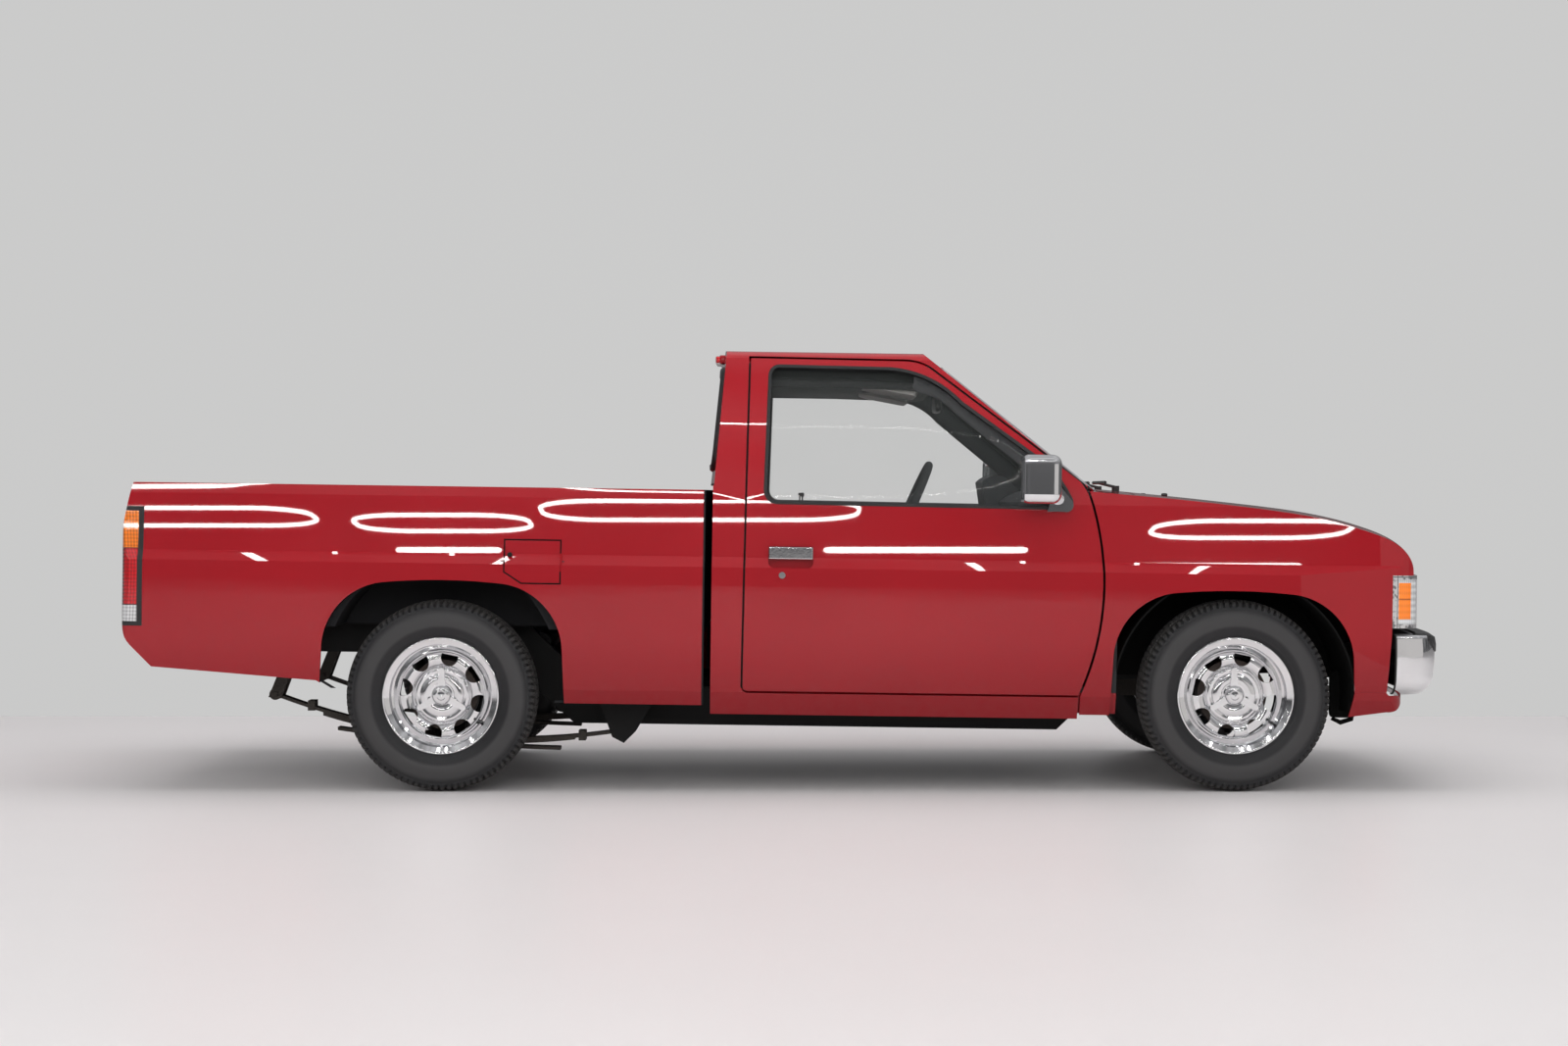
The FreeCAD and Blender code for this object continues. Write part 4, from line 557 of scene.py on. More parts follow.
RECIPES = {
    "red_paint": painted,
    "cab_paint": lambda n: painted(n, inside_cab_and_gap_shade, (0.024, 0.024, 0.025)),
    "door_paint": lambda n: painted(n, inside_door, (0.045, 0.046, 0.050)),
    "fender_paint": lambda n: painted(n, inside_fender),
    "bed_paint": lambda n: painted(n, under_bed_and_gap_shade),
    "chrome": chromed,
    "bumper_chrome": lambda n: chromed(n, behind_bumper),
    "wheel_chrome": wheel_plating,
    "tyre_rubber": tyre_rubber,
    "seal_rubber": lambda n: plain(n, colours().rubber, 0.42, 700.0, 0.00008),
    "black_plastic": lambda n: plain(n, colours().plastic, 0.38, 900.0, 0.00006),
    "black_steel": lambda n: plain(n, (0.011, 0.011, 0.011), 0.6, 260.0, 0.0003, shine=0.2),
    "wing_black": lambda n: plain(n, (0.006, 0.006, 0.006), 0.8, 420.0, 0.0002, shine=0.08),
    "worn_iron": lambda n: plain(n, (0.055, 0.048, 0.042), 0.62, 180.0, 0.0004, 0.5, 0.55),
    "exhaust_steel": lambda n: plain(n, (0.20, 0.185, 0.17), 0.42, 90.0, 0.0003, 0.9, 0.4),
    "cabin_trim": lambda n: plain(n, colours().trim, 0.62, 1400.0, 0.00018),
    "dark_trim": lambda n: plain(n, (0.014, 0.014, 0.0145), 0.75, 1200.0, 0.00015, shine=0.25),
    "pale_trim": lambda n: plain(n, (0.42, 0.42, 0.40), 0.7, 1500.0, 0.00012, 0.0, 0.12),
    "glass": glazing,
    "screen_glass": lambda n: glazing(n, (0.30, 0.35, 0.33), 0.12, 0.80),
    "shade_glass": lambda n: glazing(n, (0.22, 0.27, 0.25), 0.25, 0.50),
    "mirror_face": lambda n: plain(n, (0.86, 0.87, 0.88), 0.02, 30.0, 0.000002, 1.0, 0.02),
    "red_lens": lambda n: moulded_lens(n, colours().ruby),
    "tail_lens": tail_lens,
    "front_lens": front_lens,
    "seat_cloth": woven,
    # Painted shade: the near-black of the fuel flap catch's recess.
    "hole_dark": lambda n: plain(n, (0.004, 0.004, 0.004), 0.8),
}

NODE_FINISHES = {
    "frame": "black_steel", "cab_shell": "cab_paint", "windshield": "screen_glass",
    "rear_window": "shade_glass", "door_right": "door_paint", "door_left": "door_paint",
    "door_glass_right": "glass", "door_glass_left": "glass", "mirror_and_handle_right": "chrome",
    "mirror_and_handle_left": "chrome", "hood": "red_paint", "front_fenders": "fender_paint",
    "inner_wings": "wing_black", "front_valance": "fender_paint", "front_bumper": "bumper_chrome",
    "grille": "black_plastic", "front_lamps": "front_lens", "wipers": "black_plastic",
    "dashboard": "cabin_trim", "steering_wheel": "cabin_trim", "bench_seat": "seat_cloth",
    "bed": "bed_paint", "tail_lamps": "tail_lens", "tailgate": "red_paint", "fuel_flap": "red_paint",
    "engine": "worn_iron", "exhaust": "exhaust_steel", "fuel_tank": "black_steel",
    "rear_axle": "black_steel", "leaf_springs": "worn_iron", "propeller_shaft": "black_steel",
    "control_arms": "black_steel", "knuckle_right": "worn_iron", "knuckle_left": "worn_iron",
    "steering_rod": "black_steel",
}


# Surfaces

SHARP_FROM = math.radians(38)


def tipped(points):
    """Points of the level body turned nose-down by the rake about the rear axle, as the frame is."""
    p = np.asarray(points, float)
    x, z = p[..., 0] - AXLE_REAR, p[..., 2] - HUB_Z
    out = p.copy()
    out[..., 0] = AXLE_REAR + x * math.cos(RAKE) + z * math.sin(RAKE) + SHIFT
    out[..., 2] = HUB_Z - x * math.sin(RAKE) + z * math.cos(RAKE)
    return out


def raked(parts):
    """Grids of the level body, tipped as the frame is."""
    return [(tipped(points), wrap_u, wrap_v) for points, wrap_u, wrap_v in parts]


def quads(count_u, count_v, wrap_u, wrap_v, start=0):
    """Faces of a grid of count_u by count_v points, joined round where it wraps."""
    u = np.arange(count_u if wrap_u else count_u - 1)
    v = np.arange(count_v if wrap_v else count_v - 1)
    uu, vv = np.meshgrid(u, v, indexing="ij")
    nu, nv = (uu + 1) % count_u, (vv + 1) % count_v
    corners = [uu * count_v + vv, nu * count_v + vv, nu * count_v + nv, uu * count_v + nv]
    return np.stack(corners, -1).reshape(-1, 4) + start


def gathered(parts):
    """Several (points, wrap_u, wrap_v) grids as one list of vertices and faces."""
    vertices, faces, start = [], [], 0
    for points, wrap_u, wrap_v in parts:
        faces.append(quads(points.shape[0], points.shape[1], wrap_u, wrap_v, start))
        vertices.append(points.reshape(-1, 3))
        start += points.shape[0] * points.shape[1]
    return np.concatenate(vertices), np.concatenate(faces)


def added(name, data):
    """An object in the scene from its mesh, lamp or camera."""
    item = bpy.data.objects.new(name, data)
    bpy.context.scene.collection.objects.link(item)
    return item


def sheet_piece(name, parts, body, look):
    """A smooth mesh from several grids, merged and turned outwards, which rides on its body."""
    vertices, faces = gathered(parts)
    mesh = bpy.data.meshes.new(name)
    mesh.from_pydata(vertices.tolist(), [], faces.tolist())
    work = bmesh.new()
    work.from_mesh(mesh)
    bmesh.ops.remove_doubles(work, verts=work.verts, dist=1e-6)
    bmesh.ops.dissolve_degenerate(work, edges=work.edges, dist=1e-7)
    bmesh.ops.recalc_face_normals(work, faces=work.faces)
    work.to_mesh(mesh)
    work.free()
    mesh.polygons.foreach_set("use_smooth", np.ones(len(mesh.polygons), bool))
    mesh.set_sharp_from_angle(angle=SHARP_FROM)
    mesh.materials.append(finish(look))
    piece = added(name, mesh)
    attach(piece, body)
    return piece


def trace(start, *steps, spacing=0.006):
    """Points along lines and arcs: one point makes a line, and two make an arc through the first."""
    here = np.array(start, float)
    found = [here[None]]
    for step in steps:
        if isinstance(step[0], (tuple, list)):
            mid, end = np.array(step[0], float), np.array(step[1], float)
            centre = circle_centre(here, mid, end)
            a = [math.atan2(*(p - centre)[::-1]) for p in (here, mid, end)]
            turn = (a[2] - a[0]) % (2 * math.pi)
            if (a[1] - a[0]) % (2 * math.pi) > turn:
                turn -= 2 * math.pi
            radius = np.linalg.norm(here - centre)
            count = max(3, int(abs(turn) * radius / spacing) + 1)
            t = a[0] + turn * np.linspace(0, 1, count + 1)[1:]
            found.append(centre + radius * np.stack([np.cos(t), np.sin(t)], -1))
        else:
            end = np.array(step, float)
            count = max(1, int(np.linalg.norm(end - here) / spacing))
            t = np.linspace(0, 1, count + 1)[1:, None]
            found.append(here + (end - here) * t)
        here = end
    return np.concatenate(found)


def circle_centre(a, b, c):
    """The centre of the circle through three points of a plane."""
    rows = 2 * np.array([b - a, c - a])
    return np.linalg.solve(rows, np.array([b @ b - a @ a, c @ c - a @ a]))


def normalised(vectors):
    return vectors / np.maximum(np.linalg.norm(vectors, axis=-1, keepdims=True), 1e-12)


def carried(path, outward, profile, closed=True):
    """A profile of (sideways, outward) offsets carried along a path.

    Each ring is the path's point plus both offsets. Sideways is the cross product of the path's direction
    and the outward vector.
    """
    path = np.asarray(path, float)
    if closed:
        ahead = np.roll(path, -1, 0) - np.roll(path, 1, 0)
    else:
        ahead = np.gradient(path, axis=0)
    ahead = normalised(ahead)
    outward = np.broadcast_to(np.asarray(outward, float), path.shape)
    side = normalised(np.cross(ahead, outward))
    up = normalised(np.cross(side, ahead))
    profile = np.asarray(profile, float)
    return path[:, None] + side[:, None] * profile[None, :, :1] + up[:, None] * profile[None, :, 1:]


def capped(points):
    """An open run of closed rings with both ends drawn in to their middles, so that it is a closed body."""
    first = np.repeat(points[:1].mean(1, keepdims=True), points.shape[1], 1)
    last = np.repeat(points[-1:].mean(1, keepdims=True), points.shape[1], 1)
    return np.concatenate([first, points, last])


def ring_profile(radius, count=10):
    t = np.linspace(0, 2 * math.pi, count, endpoint=False)
    return np.stack([radius * np.cos(t), radius * np.sin(t)], -1)


def across(axis):
    """A direction that doesn't run along the axis."""
    return np.array(UP if abs(axis[2]) < 0.8 else (1.0, 0.0, 0.0))


def tube(path, radius, count=10):
    """A round rod along a path, closed at both ends."""
    path = np.asarray(path, float)
    helper = across(normalised(path[-1] - path[0]))
    return capped(carried(path, helper, ring_profile(radius, count), closed=False)), False, True


def turned(profile, centre, axis, count=32):
    """A profile of (distance along the axis, radius) turned right round the axis."""
    profile = np.asarray(profile, float)
    axis = normalised(np.asarray(axis, float))
    u = normalised(np.cross(axis, across(axis)))
    v = np.cross(axis, u)
    t = np.linspace(0, 2 * math.pi, count, endpoint=False)
    ring = np.cos(t)[:, None] * u + np.sin(t)[:, None] * v
    points = np.asarray(centre) + profile[None, :, :1] * axis + profile[None, :, 1:] * ring[:, None]
    return points, True, False


def pebble(centre, half, square=0.35, count_u=32, count_v=17):
    """A rounded block: a sphere whose sines and cosines are raised to a power, which flattens its sides."""
    u = np.linspace(0, 2 * math.pi, count_u, endpoint=False)[:, None]
    v = np.linspace(-math.pi / 2, math.pi / 2, count_v)[None]

    def power(a):
        return np.sign(a) * np.abs(a) ** square

    x = power(np.cos(v)) * power(np.cos(u)) * half[0]
    y = power(np.cos(v)) * power(np.sin(u)) * half[1]
    z = power(np.sin(v)) * half[2] + 0 * u
    return np.stack([x, y, z], -1) + np.asarray(centre), True, False


# The side's section: heights and half widths up to the belt, and three points of the arc above it
LOWER_Z = (0.347, 0.53, 0.70, 0.762, 0.788, 0.796, 0.985)
LOWER_HALF = (0.803, 0.819, 0.825, 0.825, 0.814, 0.811, 0.798)
UPPER_ARC = ((0.798, 0.985), (0.721, 1.232), (0.625, 1.466))
ARC_END_Z = 1.47


def side_width(z):
    """Half the level body's width at a height, from its section's arcs and lines."""
    z = np.asarray(z, float)
    low = np.interp(z, LOWER_Z, LOWER_HALF)
    belt, middle, roof = np.array(UPPER_ARC)
    centre = circle_centre(belt, middle, roof)
    radius = math.hypot(*(belt - centre))
    high = centre[0] + np.sqrt(np.maximum(radius ** 2 - (np.minimum(z, ARC_END_Z) - centre[1]) ** 2, 0))
    return np.where(z > BELT_Z, high, low)


def side_normal(z, side):
    """The outward direction of the level body's side at a height."""
    slope = (side_width(z + 0.004) - side_width(z - 0.004)) / 0.008
    return normalised(np.stack([np.zeros_like(z), side * np.ones_like(z), -slope], -1))


# Tyres

TREAD_PITCHES = 88
STEPS_PER_PITCH = 6
RIM_SEAT = (0.0828, 0.1985)
SHOULDER_RADIUS = 0.290
CROWN_DROP = 0.0058
GROOVE_SLOPE = 0.0012
# Middle and half width of each groove that runs round the tread
GROOVES = ((0.0, 0.0024), (0.0235, 0.0040), (0.0520, 0.0040))
# The inner side, as rows of distance outwards and radius
TYRE_INSIDE = (
    (-0.066, 0.180), (-0.055, 0.185), (-0.083, 0.240), (-0.078, 0.286), (-0.055, 0.303), (0.0, 0.307),
    (0.055, 0.303), (0.078, 0.286), (0.083, 0.240), (0.055, 0.185), (0.066, 0.180),
)


def tyre_profile():
    """Half of the tyre's outside from bead to tread, as rows of distance outwards and radius."""
    half, top = sizes().tyre_half, sizes().tyre_radius
    shoulder_start = (half - 0.008, SHOULDER_RADIUS)
    crown_start = (half - 0.020, top - CROWN_DROP)
    side = trace(RIM_SEAT, ((half, 0.246), shoulder_start), spacing=0.004)
    shoulder = trace(shoulder_start, ((half - 0.0115, 0.3045), crown_start), spacing=0.0028)[1:]
    crown = trace(crown_start, (0.0, top), spacing=0.0016)[1:]
    crown[:, 1] = top - CROWN_DROP * (crown[:, 0] / crown_start[0]) ** 2
    rows = np.concatenate([side, shoulder, crown])
    lip = np.exp(-((rows[:, 1] - 0.2055) / 0.0030) ** 2) * 0.0016
    belt = np.exp(-((rows[:, 1] - 0.283) / 0.0018) ** 2) * 0.0010
    rows[:, 0] += lip + belt
    return rows


def tread_pattern(y, r, step):
    """How deep the tread is cut, from 0 to 1: the deepest of the grooves round it and the cuts across it.

    A cut across it lies in the last steps of each pitch, beyond a distance outwards and a radius. A finer one
    lies at its third step.
    """
    wide = np.abs(y)
    groove = np.zeros_like(r + step)
    for middle, reach in GROOVES:
        groove = np.maximum(groove, np.clip((reach - np.abs(wide - middle)) / GROOVE_SLOPE + 0.5, 0, 1))
    last = step >= STEPS_PER_PITCH - 2
    cross_cut = (last & (wide > 0.054) & (r > 0.3005)).astype(float)
    sipe = ((step == 2) & (wide > 0.004) & (wide < 0.051)).astype(float) * 0.55
    shoulder_nick = (last & (r > 0.2965) & (r <= 0.3005)).astype(float) * 0.4
    return np.maximum.reduce([groove, cross_cut, sipe, shoulder_nick])


def tyre_surface():
    """The tyre about Y: its section turned round, with grooves pressed into the crown.

    Radius = section radius - groove depth * the tread's pattern. The turn angle is slanted by the distance
    from the middle, so that the cross cuts lean.
    """
    half_rows = tyre_profile()
    rows = np.concatenate([half_rows, half_rows[-2::-1] * np.array([-1, 1])])
    count = TREAD_PITCHES * STEPS_PER_PITCH
    t = np.arange(count)[:, None] * 2 * math.pi / count
    y, r = rows[None, :, 0], rows[None, :, 1]
    groove = tread_pattern(y, r, (np.arange(count) % STEPS_PER_PITCH)[:, None])
    wide = np.abs(y)
    slant = np.clip(wide - 0.02, 0, 0.07) * 0.9 * np.sign(y) + 0.06 * np.sin(wide * 55)
    angle = t + slant * 0.35
    radius = r - groove * sizes().groove_depth
    outer = np.stack([radius * np.sin(angle), y + 0 * t, radius * np.cos(angle)], -1)
    y, r = np.array(TYRE_INSIDE).T[:, None]
    inner = np.stack([r * np.sin(t), y + 0 * t, r * np.cos(t)], -1)
    return np.concatenate([outer, inner], 1), True, True


def tyres():
    """The tyre moved to each hub, and mirrored on the left."""
    points, wrap_u, wrap_v = tyre_surface()
    for end, x in AXLES:
        for hand, side in BOTH:
            moved = points * np.array([1.0, -side, 1.0]) + np.array([x + SHIFT, side * TRACK_HALF, HUB_Z])
            wheel = "%s_%s" % (end, hand)
            tyre = (moved, wrap_u, wrap_v)
            piece = sheet_piece("treaded_tyre_" + wheel, [tyre], "wheel_" + wheel, "tyre_rubber")
            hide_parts("tyre_" + wheel)


# Finishes of the frame's own solids

def look_of(name):
    """The finish of a solid, by its node's name."""
    if name.startswith("rim_"):
        return "wheel_chrome"
    if name.startswith("tyre_"):
        return "tyre_rubber"
    return NODE_FINISHES[name]


def node_finishes():
    """Puts its finish on every solid of the frame."""
    for name, node in NODES.items():
        node.data.materials.clear()
        node.data.materials.append(finish(look_of(name)))


# Window seals and bright trim

WINDOW = (
    (-0.0755, 1.020),
    ((-0.0635, 0.992), (-0.0355, 0.982)),
    (0.9085, 0.976),
    ((0.9365, 0.984), (0.9325, 1.010)),
    ((0.8985, 1.068), (0.8085, 1.152)),
    (0.5735, 1.322),
    ((0.4585, 1.404), (0.3085, 1.434)),
    (-0.0355, 1.438),
    ((-0.0575, 1.430), (-0.0655, 1.408)),
    (-0.0755, 1.020),
)


def side_path(points, side):
    """A line of the side view laid on the level body's side, with the outward direction at each point."""
    x, z = points[:, 0], points[:, 1]
    return np.stack([x, side * side_width(z), z], -1), side_normal(z, side)


def smoothed_loop(points, passes=2):
    """A closed line with each point moved to the mean of itself and its neighbours."""
    for _ in range(passes):
        points = (np.roll(points, 1, 0) + 2 * points + np.roll(points, -1, 0)) / 4
    return points


def window_rubbers():
    """A lipped section carried round each side window's outline on the body's side."""
    width = sizes().seal_width
    for hand, side in BOTH:
        path, normal = side_path(smoothed_loop(trace(*WINDOW)[:-1]), side)
        section = np.array([(-0.003, -0.001), (-0.003, 0.0018), (0.001, 0.0028), (width * 0.45, 0.0006),
                            (width * 0.55, -0.006), (width, -0.0165), (width, -0.0198), (-0.0002, -0.0198)])
        section[:, 0] *= -side
        rubber = (carried(path, normal, section), True, True)
        sheet_piece("window_rubber_" + hand, raked([rubber]), "door_" + hand, "seal_rubber")


SCREEN_FOOT = (AXLE_FRONT - 0.493, 1.033)
SCREEN_SLOPE = (-1.021 + 0.493) / (1.441 - 1.033)
SCREEN_BOW = 0.072
SCREEN_OUTWARD = (0.408, 0.0, 0.528)
BACK_FOOT = (AXLE_FRONT - 1.751 + 0.006, 1.033)
BACK_LEAN = 0.042
BACK_TOP_Z = 1.466
BACK_BOW = 0.030


def windshield_x(y, z):
    """Station of the windshield's outer surface: a leaning line that falls back to its sides."""
    wide = y / HALF_WIDTH
    return SCREEN_FOOT[0] + SCREEN_SLOPE * (z - SCREEN_FOOT[1]) + SCREEN_BOW * (1 - wide ** 2)


def rear_glass_x(y, z):
    """Station of the cab's back above the bed: it leans forward and bulges backwards at the middle."""
    wide = y / HALF_WIDTH
    lean = BACK_LEAN * (z - BACK_FOOT[1]) / (BACK_TOP_Z - BACK_FOOT[1])
    return BACK_FOOT[0] + lean - BACK_BOW * (1 - wide ** 2)


def rounded_quad(corners, radius, spacing=0.008):
    """A closed outline with round corners, as points in the plane of the corners."""
    corners = [np.array(c, float) for c in corners]
    arcs = []
    for k, corner in enumerate(corners):
        before = normalised(corners[k - 1] - corner)
        after = normalised(corners[(k + 1) % len(corners)] - corner)
        half = math.acos(float(np.clip(before @ after, -1, 1))) / 2
        cut = radius / math.tan(half)
        centre = corner + normalised(before + after) * radius / math.sin(half)
        a, b = corner + before * cut, corner + after * cut
        t = np.linspace(0, 1, 9)[:, None]
        arcs.append(normalised(a - centre + (b - a) * t) * radius + centre)
    loop = []
    for k, arc in enumerate(arcs):
        run = arcs[(k + 1) % len(arcs)][0] - arc[-1]
        count = max(2, int(np.linalg.norm(run) / spacing))
        loop += [arc, arc[-1] + run * np.linspace(0, 1, count, endpoint=False)[1:, None]]
    return np.concatenate(loop)


def rounded_box(left, low, right, high, radius, spacing=0.008):
    """A closed outline round an upright box, with round corners."""
    return rounded_quad([(left, low), (right, low), (right, high), (left, high)], radius, spacing)


def windshield_trim():
    """A bright strip beside a rubber: two sections carried round a rounded quad on the windshield."""
    front = rounded_quad([(-0.694, 1.036), (0.694, 1.036), (0.562, 1.440), (-0.562, 1.440)], 0.032)
    y, z = front[:, 0], front[:, 1]
    path = np.stack([windshield_x(y, z), y, z], -1)
    outward = normalised(np.array(SCREEN_OUTWARD) + np.stack([0 * y, y * 0.2, 0 * y], -1))
    width = sizes().trim_width
    bright = ((-0.004, -0.004), (-0.004, 0.0012), (0.0, 0.0034), (width * 0.5, 0.0040), (width, 0.0012),
              (width, -0.004))
    rubber = ((-0.016, -0.006), (-0.016, -0.0012), (-0.010, 0.0010), (-0.0035, 0.0006), (-0.0035, -0.006))
    for name, section, look in (("bright_trim", bright, "chrome"), ("rubber", rubber, "seal_rubber")):
        strip = (carried(path, outward, section), True, True)
        sheet_piece("windshield_" + name, raked([strip]), "truck", look)


def rear_window_rubber():
    """A raised section carried round a rounded quad on the cab's back."""
    back = rounded_quad([(-0.642, 1.100), (0.642, 1.100), (0.566, 1.420), (-0.566, 1.420)], 0.042)
    y, z = back[:, 0], back[:, 1]
    path = np.stack([rear_glass_x(y, z), y, z], -1)
    section = ((-0.018, -0.004), (-0.018, 0.004), (-0.012, 0.0110), (0.004, 0.0120), (0.009, 0.004),
               (0.009, -0.004))
    rubber = (carried(path, (-1.0, 0.0, 0.0), section), True, True)
    sheet_piece("rear_window_rubber", raked([rubber]), "truck", "seal_rubber")


# Front bumper

BUMPER_HALF = HALF_WIDTH - 0.010
BUMPER_START = 0.560
BUMPER_END = 0.53
BUMPER_CORNER = 0.110
BUMPER_REACH = 0.7125
PAD_HALF = 0.786
PAD_SEAT_Z = 0.5684


def bumper_line(spacing=0.012):
    """The bumper's face in plan: a shallow bow turned back round each corner."""
    half, start, corner = BUMPER_HALF, BUMPER_START, BUMPER_CORNER
    ahead = BUMPER_REACH - start
    bow = (ahead ** 2 + (half - corner) ** 2 - corner ** 2) / (2 * (ahead - corner))
    turn = math.asin((half - corner) / (bow - corner))
    middle = (turn + math.pi / 2) / 2

    def on_corner(angle, side):
        x = start + corner * math.cos(angle)
        return (AXLE_FRONT + x, side * (half - corner + corner * math.sin(angle)))

    return trace((AXLE_FRONT + BUMPER_END, -half), (AXLE_FRONT + start, -half),
                 (on_corner(middle, -1), on_corner(turn, -1)),
                 ((AXLE_FRONT + BUMPER_REACH, 0.0), on_corner(turn, 1)),
                 (on_corner(middle, 1), (AXLE_FRONT + start, half)),
                 (AXLE_FRONT + BUMPER_END, half), spacing=spacing)


def bumper_step_pad():
    """A section carried along the bumper's line, whose depth falls with the root of the way to each end."""
    line = bumper_line()
    line = line[np.abs(line[:, 1]) < PAD_HALF]
    path = np.concatenate([line, np.full((len(line), 1), 0.0)], 1)
    outward = np.cross(normalised(np.gradient(path, axis=0)), UP)
    end = np.clip((PAD_HALF - np.abs(path[:, 1])) / 0.05, 0.05, 1.0)[:, None] ** 0.5
    section = np.array([(-0.060, PAD_SEAT_Z), (-0.058, 0.5730), (-0.016, 0.5735), (0.0045, 0.5600),
                        (0.0090, 0.5350), (0.0085, 0.5120), (0.0010, 0.5080), (0.0005, 0.5440),
                        (-0.0150, PAD_SEAT_Z)])
    points = path[:, None] + outward[:, None] * section[None, :, :1]
    points[..., 2] = PAD_SEAT_Z + (section[:, 1] - PAD_SEAT_Z) * end
    sheet_piece("bumper_step_pad", raked([(capped(points), False, True)]), "truck", "black_plastic")


# Door details

MIRROR_X = AXLE_FRONT - 0.679 - 0.0385
MIRROR_Y = 0.927
MIRROR_Z = 1.068
MIRROR_BULGE = 0.0025
MIRROR_THICK = 0.003
KNOB_PLACE = (0.045, 0.7845, 0.982)


def mirror_face(hand, side):
    """Shrinking rings of a rounded box, each further back by the bulge * (1 - its share squared)."""
    face = rounded_box(-0.066, -0.064, 0.066, 0.064, 0.020)
    rings = np.linspace(1.0, 0.0, 7)
    grid = np.stack([face * r for r in rings])
    bulge = MIRROR_BULGE * (1 - rings[:, None] ** 2)
    x = MIRROR_X - bulge + 0 * grid[..., 0]
    glass = np.stack([x, side * (MIRROR_Y + grid[..., 0]), MIRROR_Z + grid[..., 1]], -1)
    front = glass[:1] + np.array([MIRROR_THICK, 0, 0])
    centre = np.repeat(front.mean(1, keepdims=True), front.shape[1], 1)
    closed = (np.concatenate([centre, front, glass]), False, True)
    sheet_piece("mirror_face_" + hand, raked([closed]), "door_" + hand, "mirror_face")


def lock_knob(hand, side):
    """A thin stem with a turned knob on it."""
    x, y, z = KNOB_PLACE
    stem = tube([(x, side * y, z - 0.02), (x, side * y, z + 0.022)], 0.0028, 10)
    profile = [(0.0, 0.0), (0.0, 0.005), (0.003, 0.0062), (0.010, 0.0058), (0.013, 0.0035), (0.0135, 0.0)]
    knob = turned(profile, (x, side * y, z + 0.018), UP, 16)
    sheet_piece("lock_knob_" + hand, raked([stem, knob]), "door_" + hand, "black_plastic")


def door_furniture(hand, side):
    """A pebble for the armrest, a pull bowed as a cosine, and a cranked winder with a turned grip."""
    arm = pebble((0.255, side * 0.706, 0.735), (0.175, 0.034, 0.024), 0.45)
    t = np.linspace(-1, 1, 17)
    bowed = side * (0.700 - 0.028 * np.cos(np.linspace(-1.45, 1.45, 17)))
    pull = tube(np.stack([0.30 + 0.10 * t, bowed, 0.80 + 0 * t], -1), 0.009, 12)
    hand_end = (0.405, side * 0.688, 0.70)
    winder = tube([(0.44, side * 0.729, 0.66), (0.44, side * 0.690, 0.66), hand_end], 0.006)
    profile = [(0.0, 0.0), (0.0, 0.010), (0.016, 0.013), (0.020, 0.009), (0.0205, 0.0)]
    grip = turned(profile, hand_end, (0, -side, 0), 18)
    sheet_piece("door_furniture_" + hand, raked([arm, pull, winder, grip]), "door_" + hand, "cabin_trim")


def door_details():
    """What each door carries."""
    for hand, side in BOTH:
        mirror_face(hand, side)
        lock_knob(hand, side)
        door_furniture(hand, side)


# Bench

BENCH_FRAMES = 14
SEAMS = np.linspace(-0.52, 0.52, 9)
SEAM_DEPTH = 0.012
SEAM_WIDTH = 0.010
PUFF = 0.008


def read_vectors(items, field):
    values = np.empty(len(items) * 3)
    items.foreach_get(field, values)
    return values.reshape(-1, 3)


def puffed(piece, cap):
    """Blows a closed cushion up from inside by cloth simulation, moving no point by more than cap."""
    cloth = piece.modifiers.new("Blown up", "CLOTH")
    cloth.settings.use_pressure = True
    cloth.settings.uniform_pressure_force = 5.0
    cloth.settings.effector_weights.gravity = 0.0
    cloth.settings.quality = 4
    scene = bpy.context.scene
    for step in range(1, BENCH_FRAMES + 1):
        scene.frame_set(step)
    shaped = piece.evaluated_get(bpy.context.evaluated_depsgraph_get()).to_mesh()
    before = read_vectors(piece.data.vertices, "co")
    move = read_vectors(shaped.vertices, "co") - before
    length = np.linalg.norm(move, axis=1, keepdims=True)
    move *= np.minimum(1.0, cap / np.maximum(length, 1e-9))
    piece.modifiers.remove(cloth)
    piece.data.vertices.foreach_set("co", (before + move).ravel())
    scene.frame_set(1)
    piece.data.update()


def sewn(piece, axis):
    """Pulls a cushion in at its seams: by the depth * exp(-(way to the seam / width) ** 2), where it faces
    the axis.
    """
    co = read_vectors(piece.data.vertices, "co")
    normal = read_vectors(piece.data.vertices, "normal")
    pull = np.exp(-((co[:, 1] - SEAMS[:, None]) / SEAM_WIDTH) ** 2).max(0)
    facing = np.clip(normal @ np.asarray(axis, float), 0, 1)
    co -= normal * (pull * facing * SEAM_DEPTH)[:, None]
    piece.data.vertices.foreach_set("co", co.ravel())
    piece.data.update()


def leaned(part, degrees, centre):
    """A grid turned about Y by an angle, nose up, and moved to its place."""
    points, wrap_u, wrap_v = part
    cos, sin = math.cos(math.radians(degrees)), math.sin(math.radians(degrees))
    x, y, z = np.moveaxis(points, -1, 0)
    moved = [centre[0] + x * cos - z * sin, centre[1] + y, centre[2] + x * sin + z * cos]
    return np.stack(moved, -1), wrap_u, wrap_v


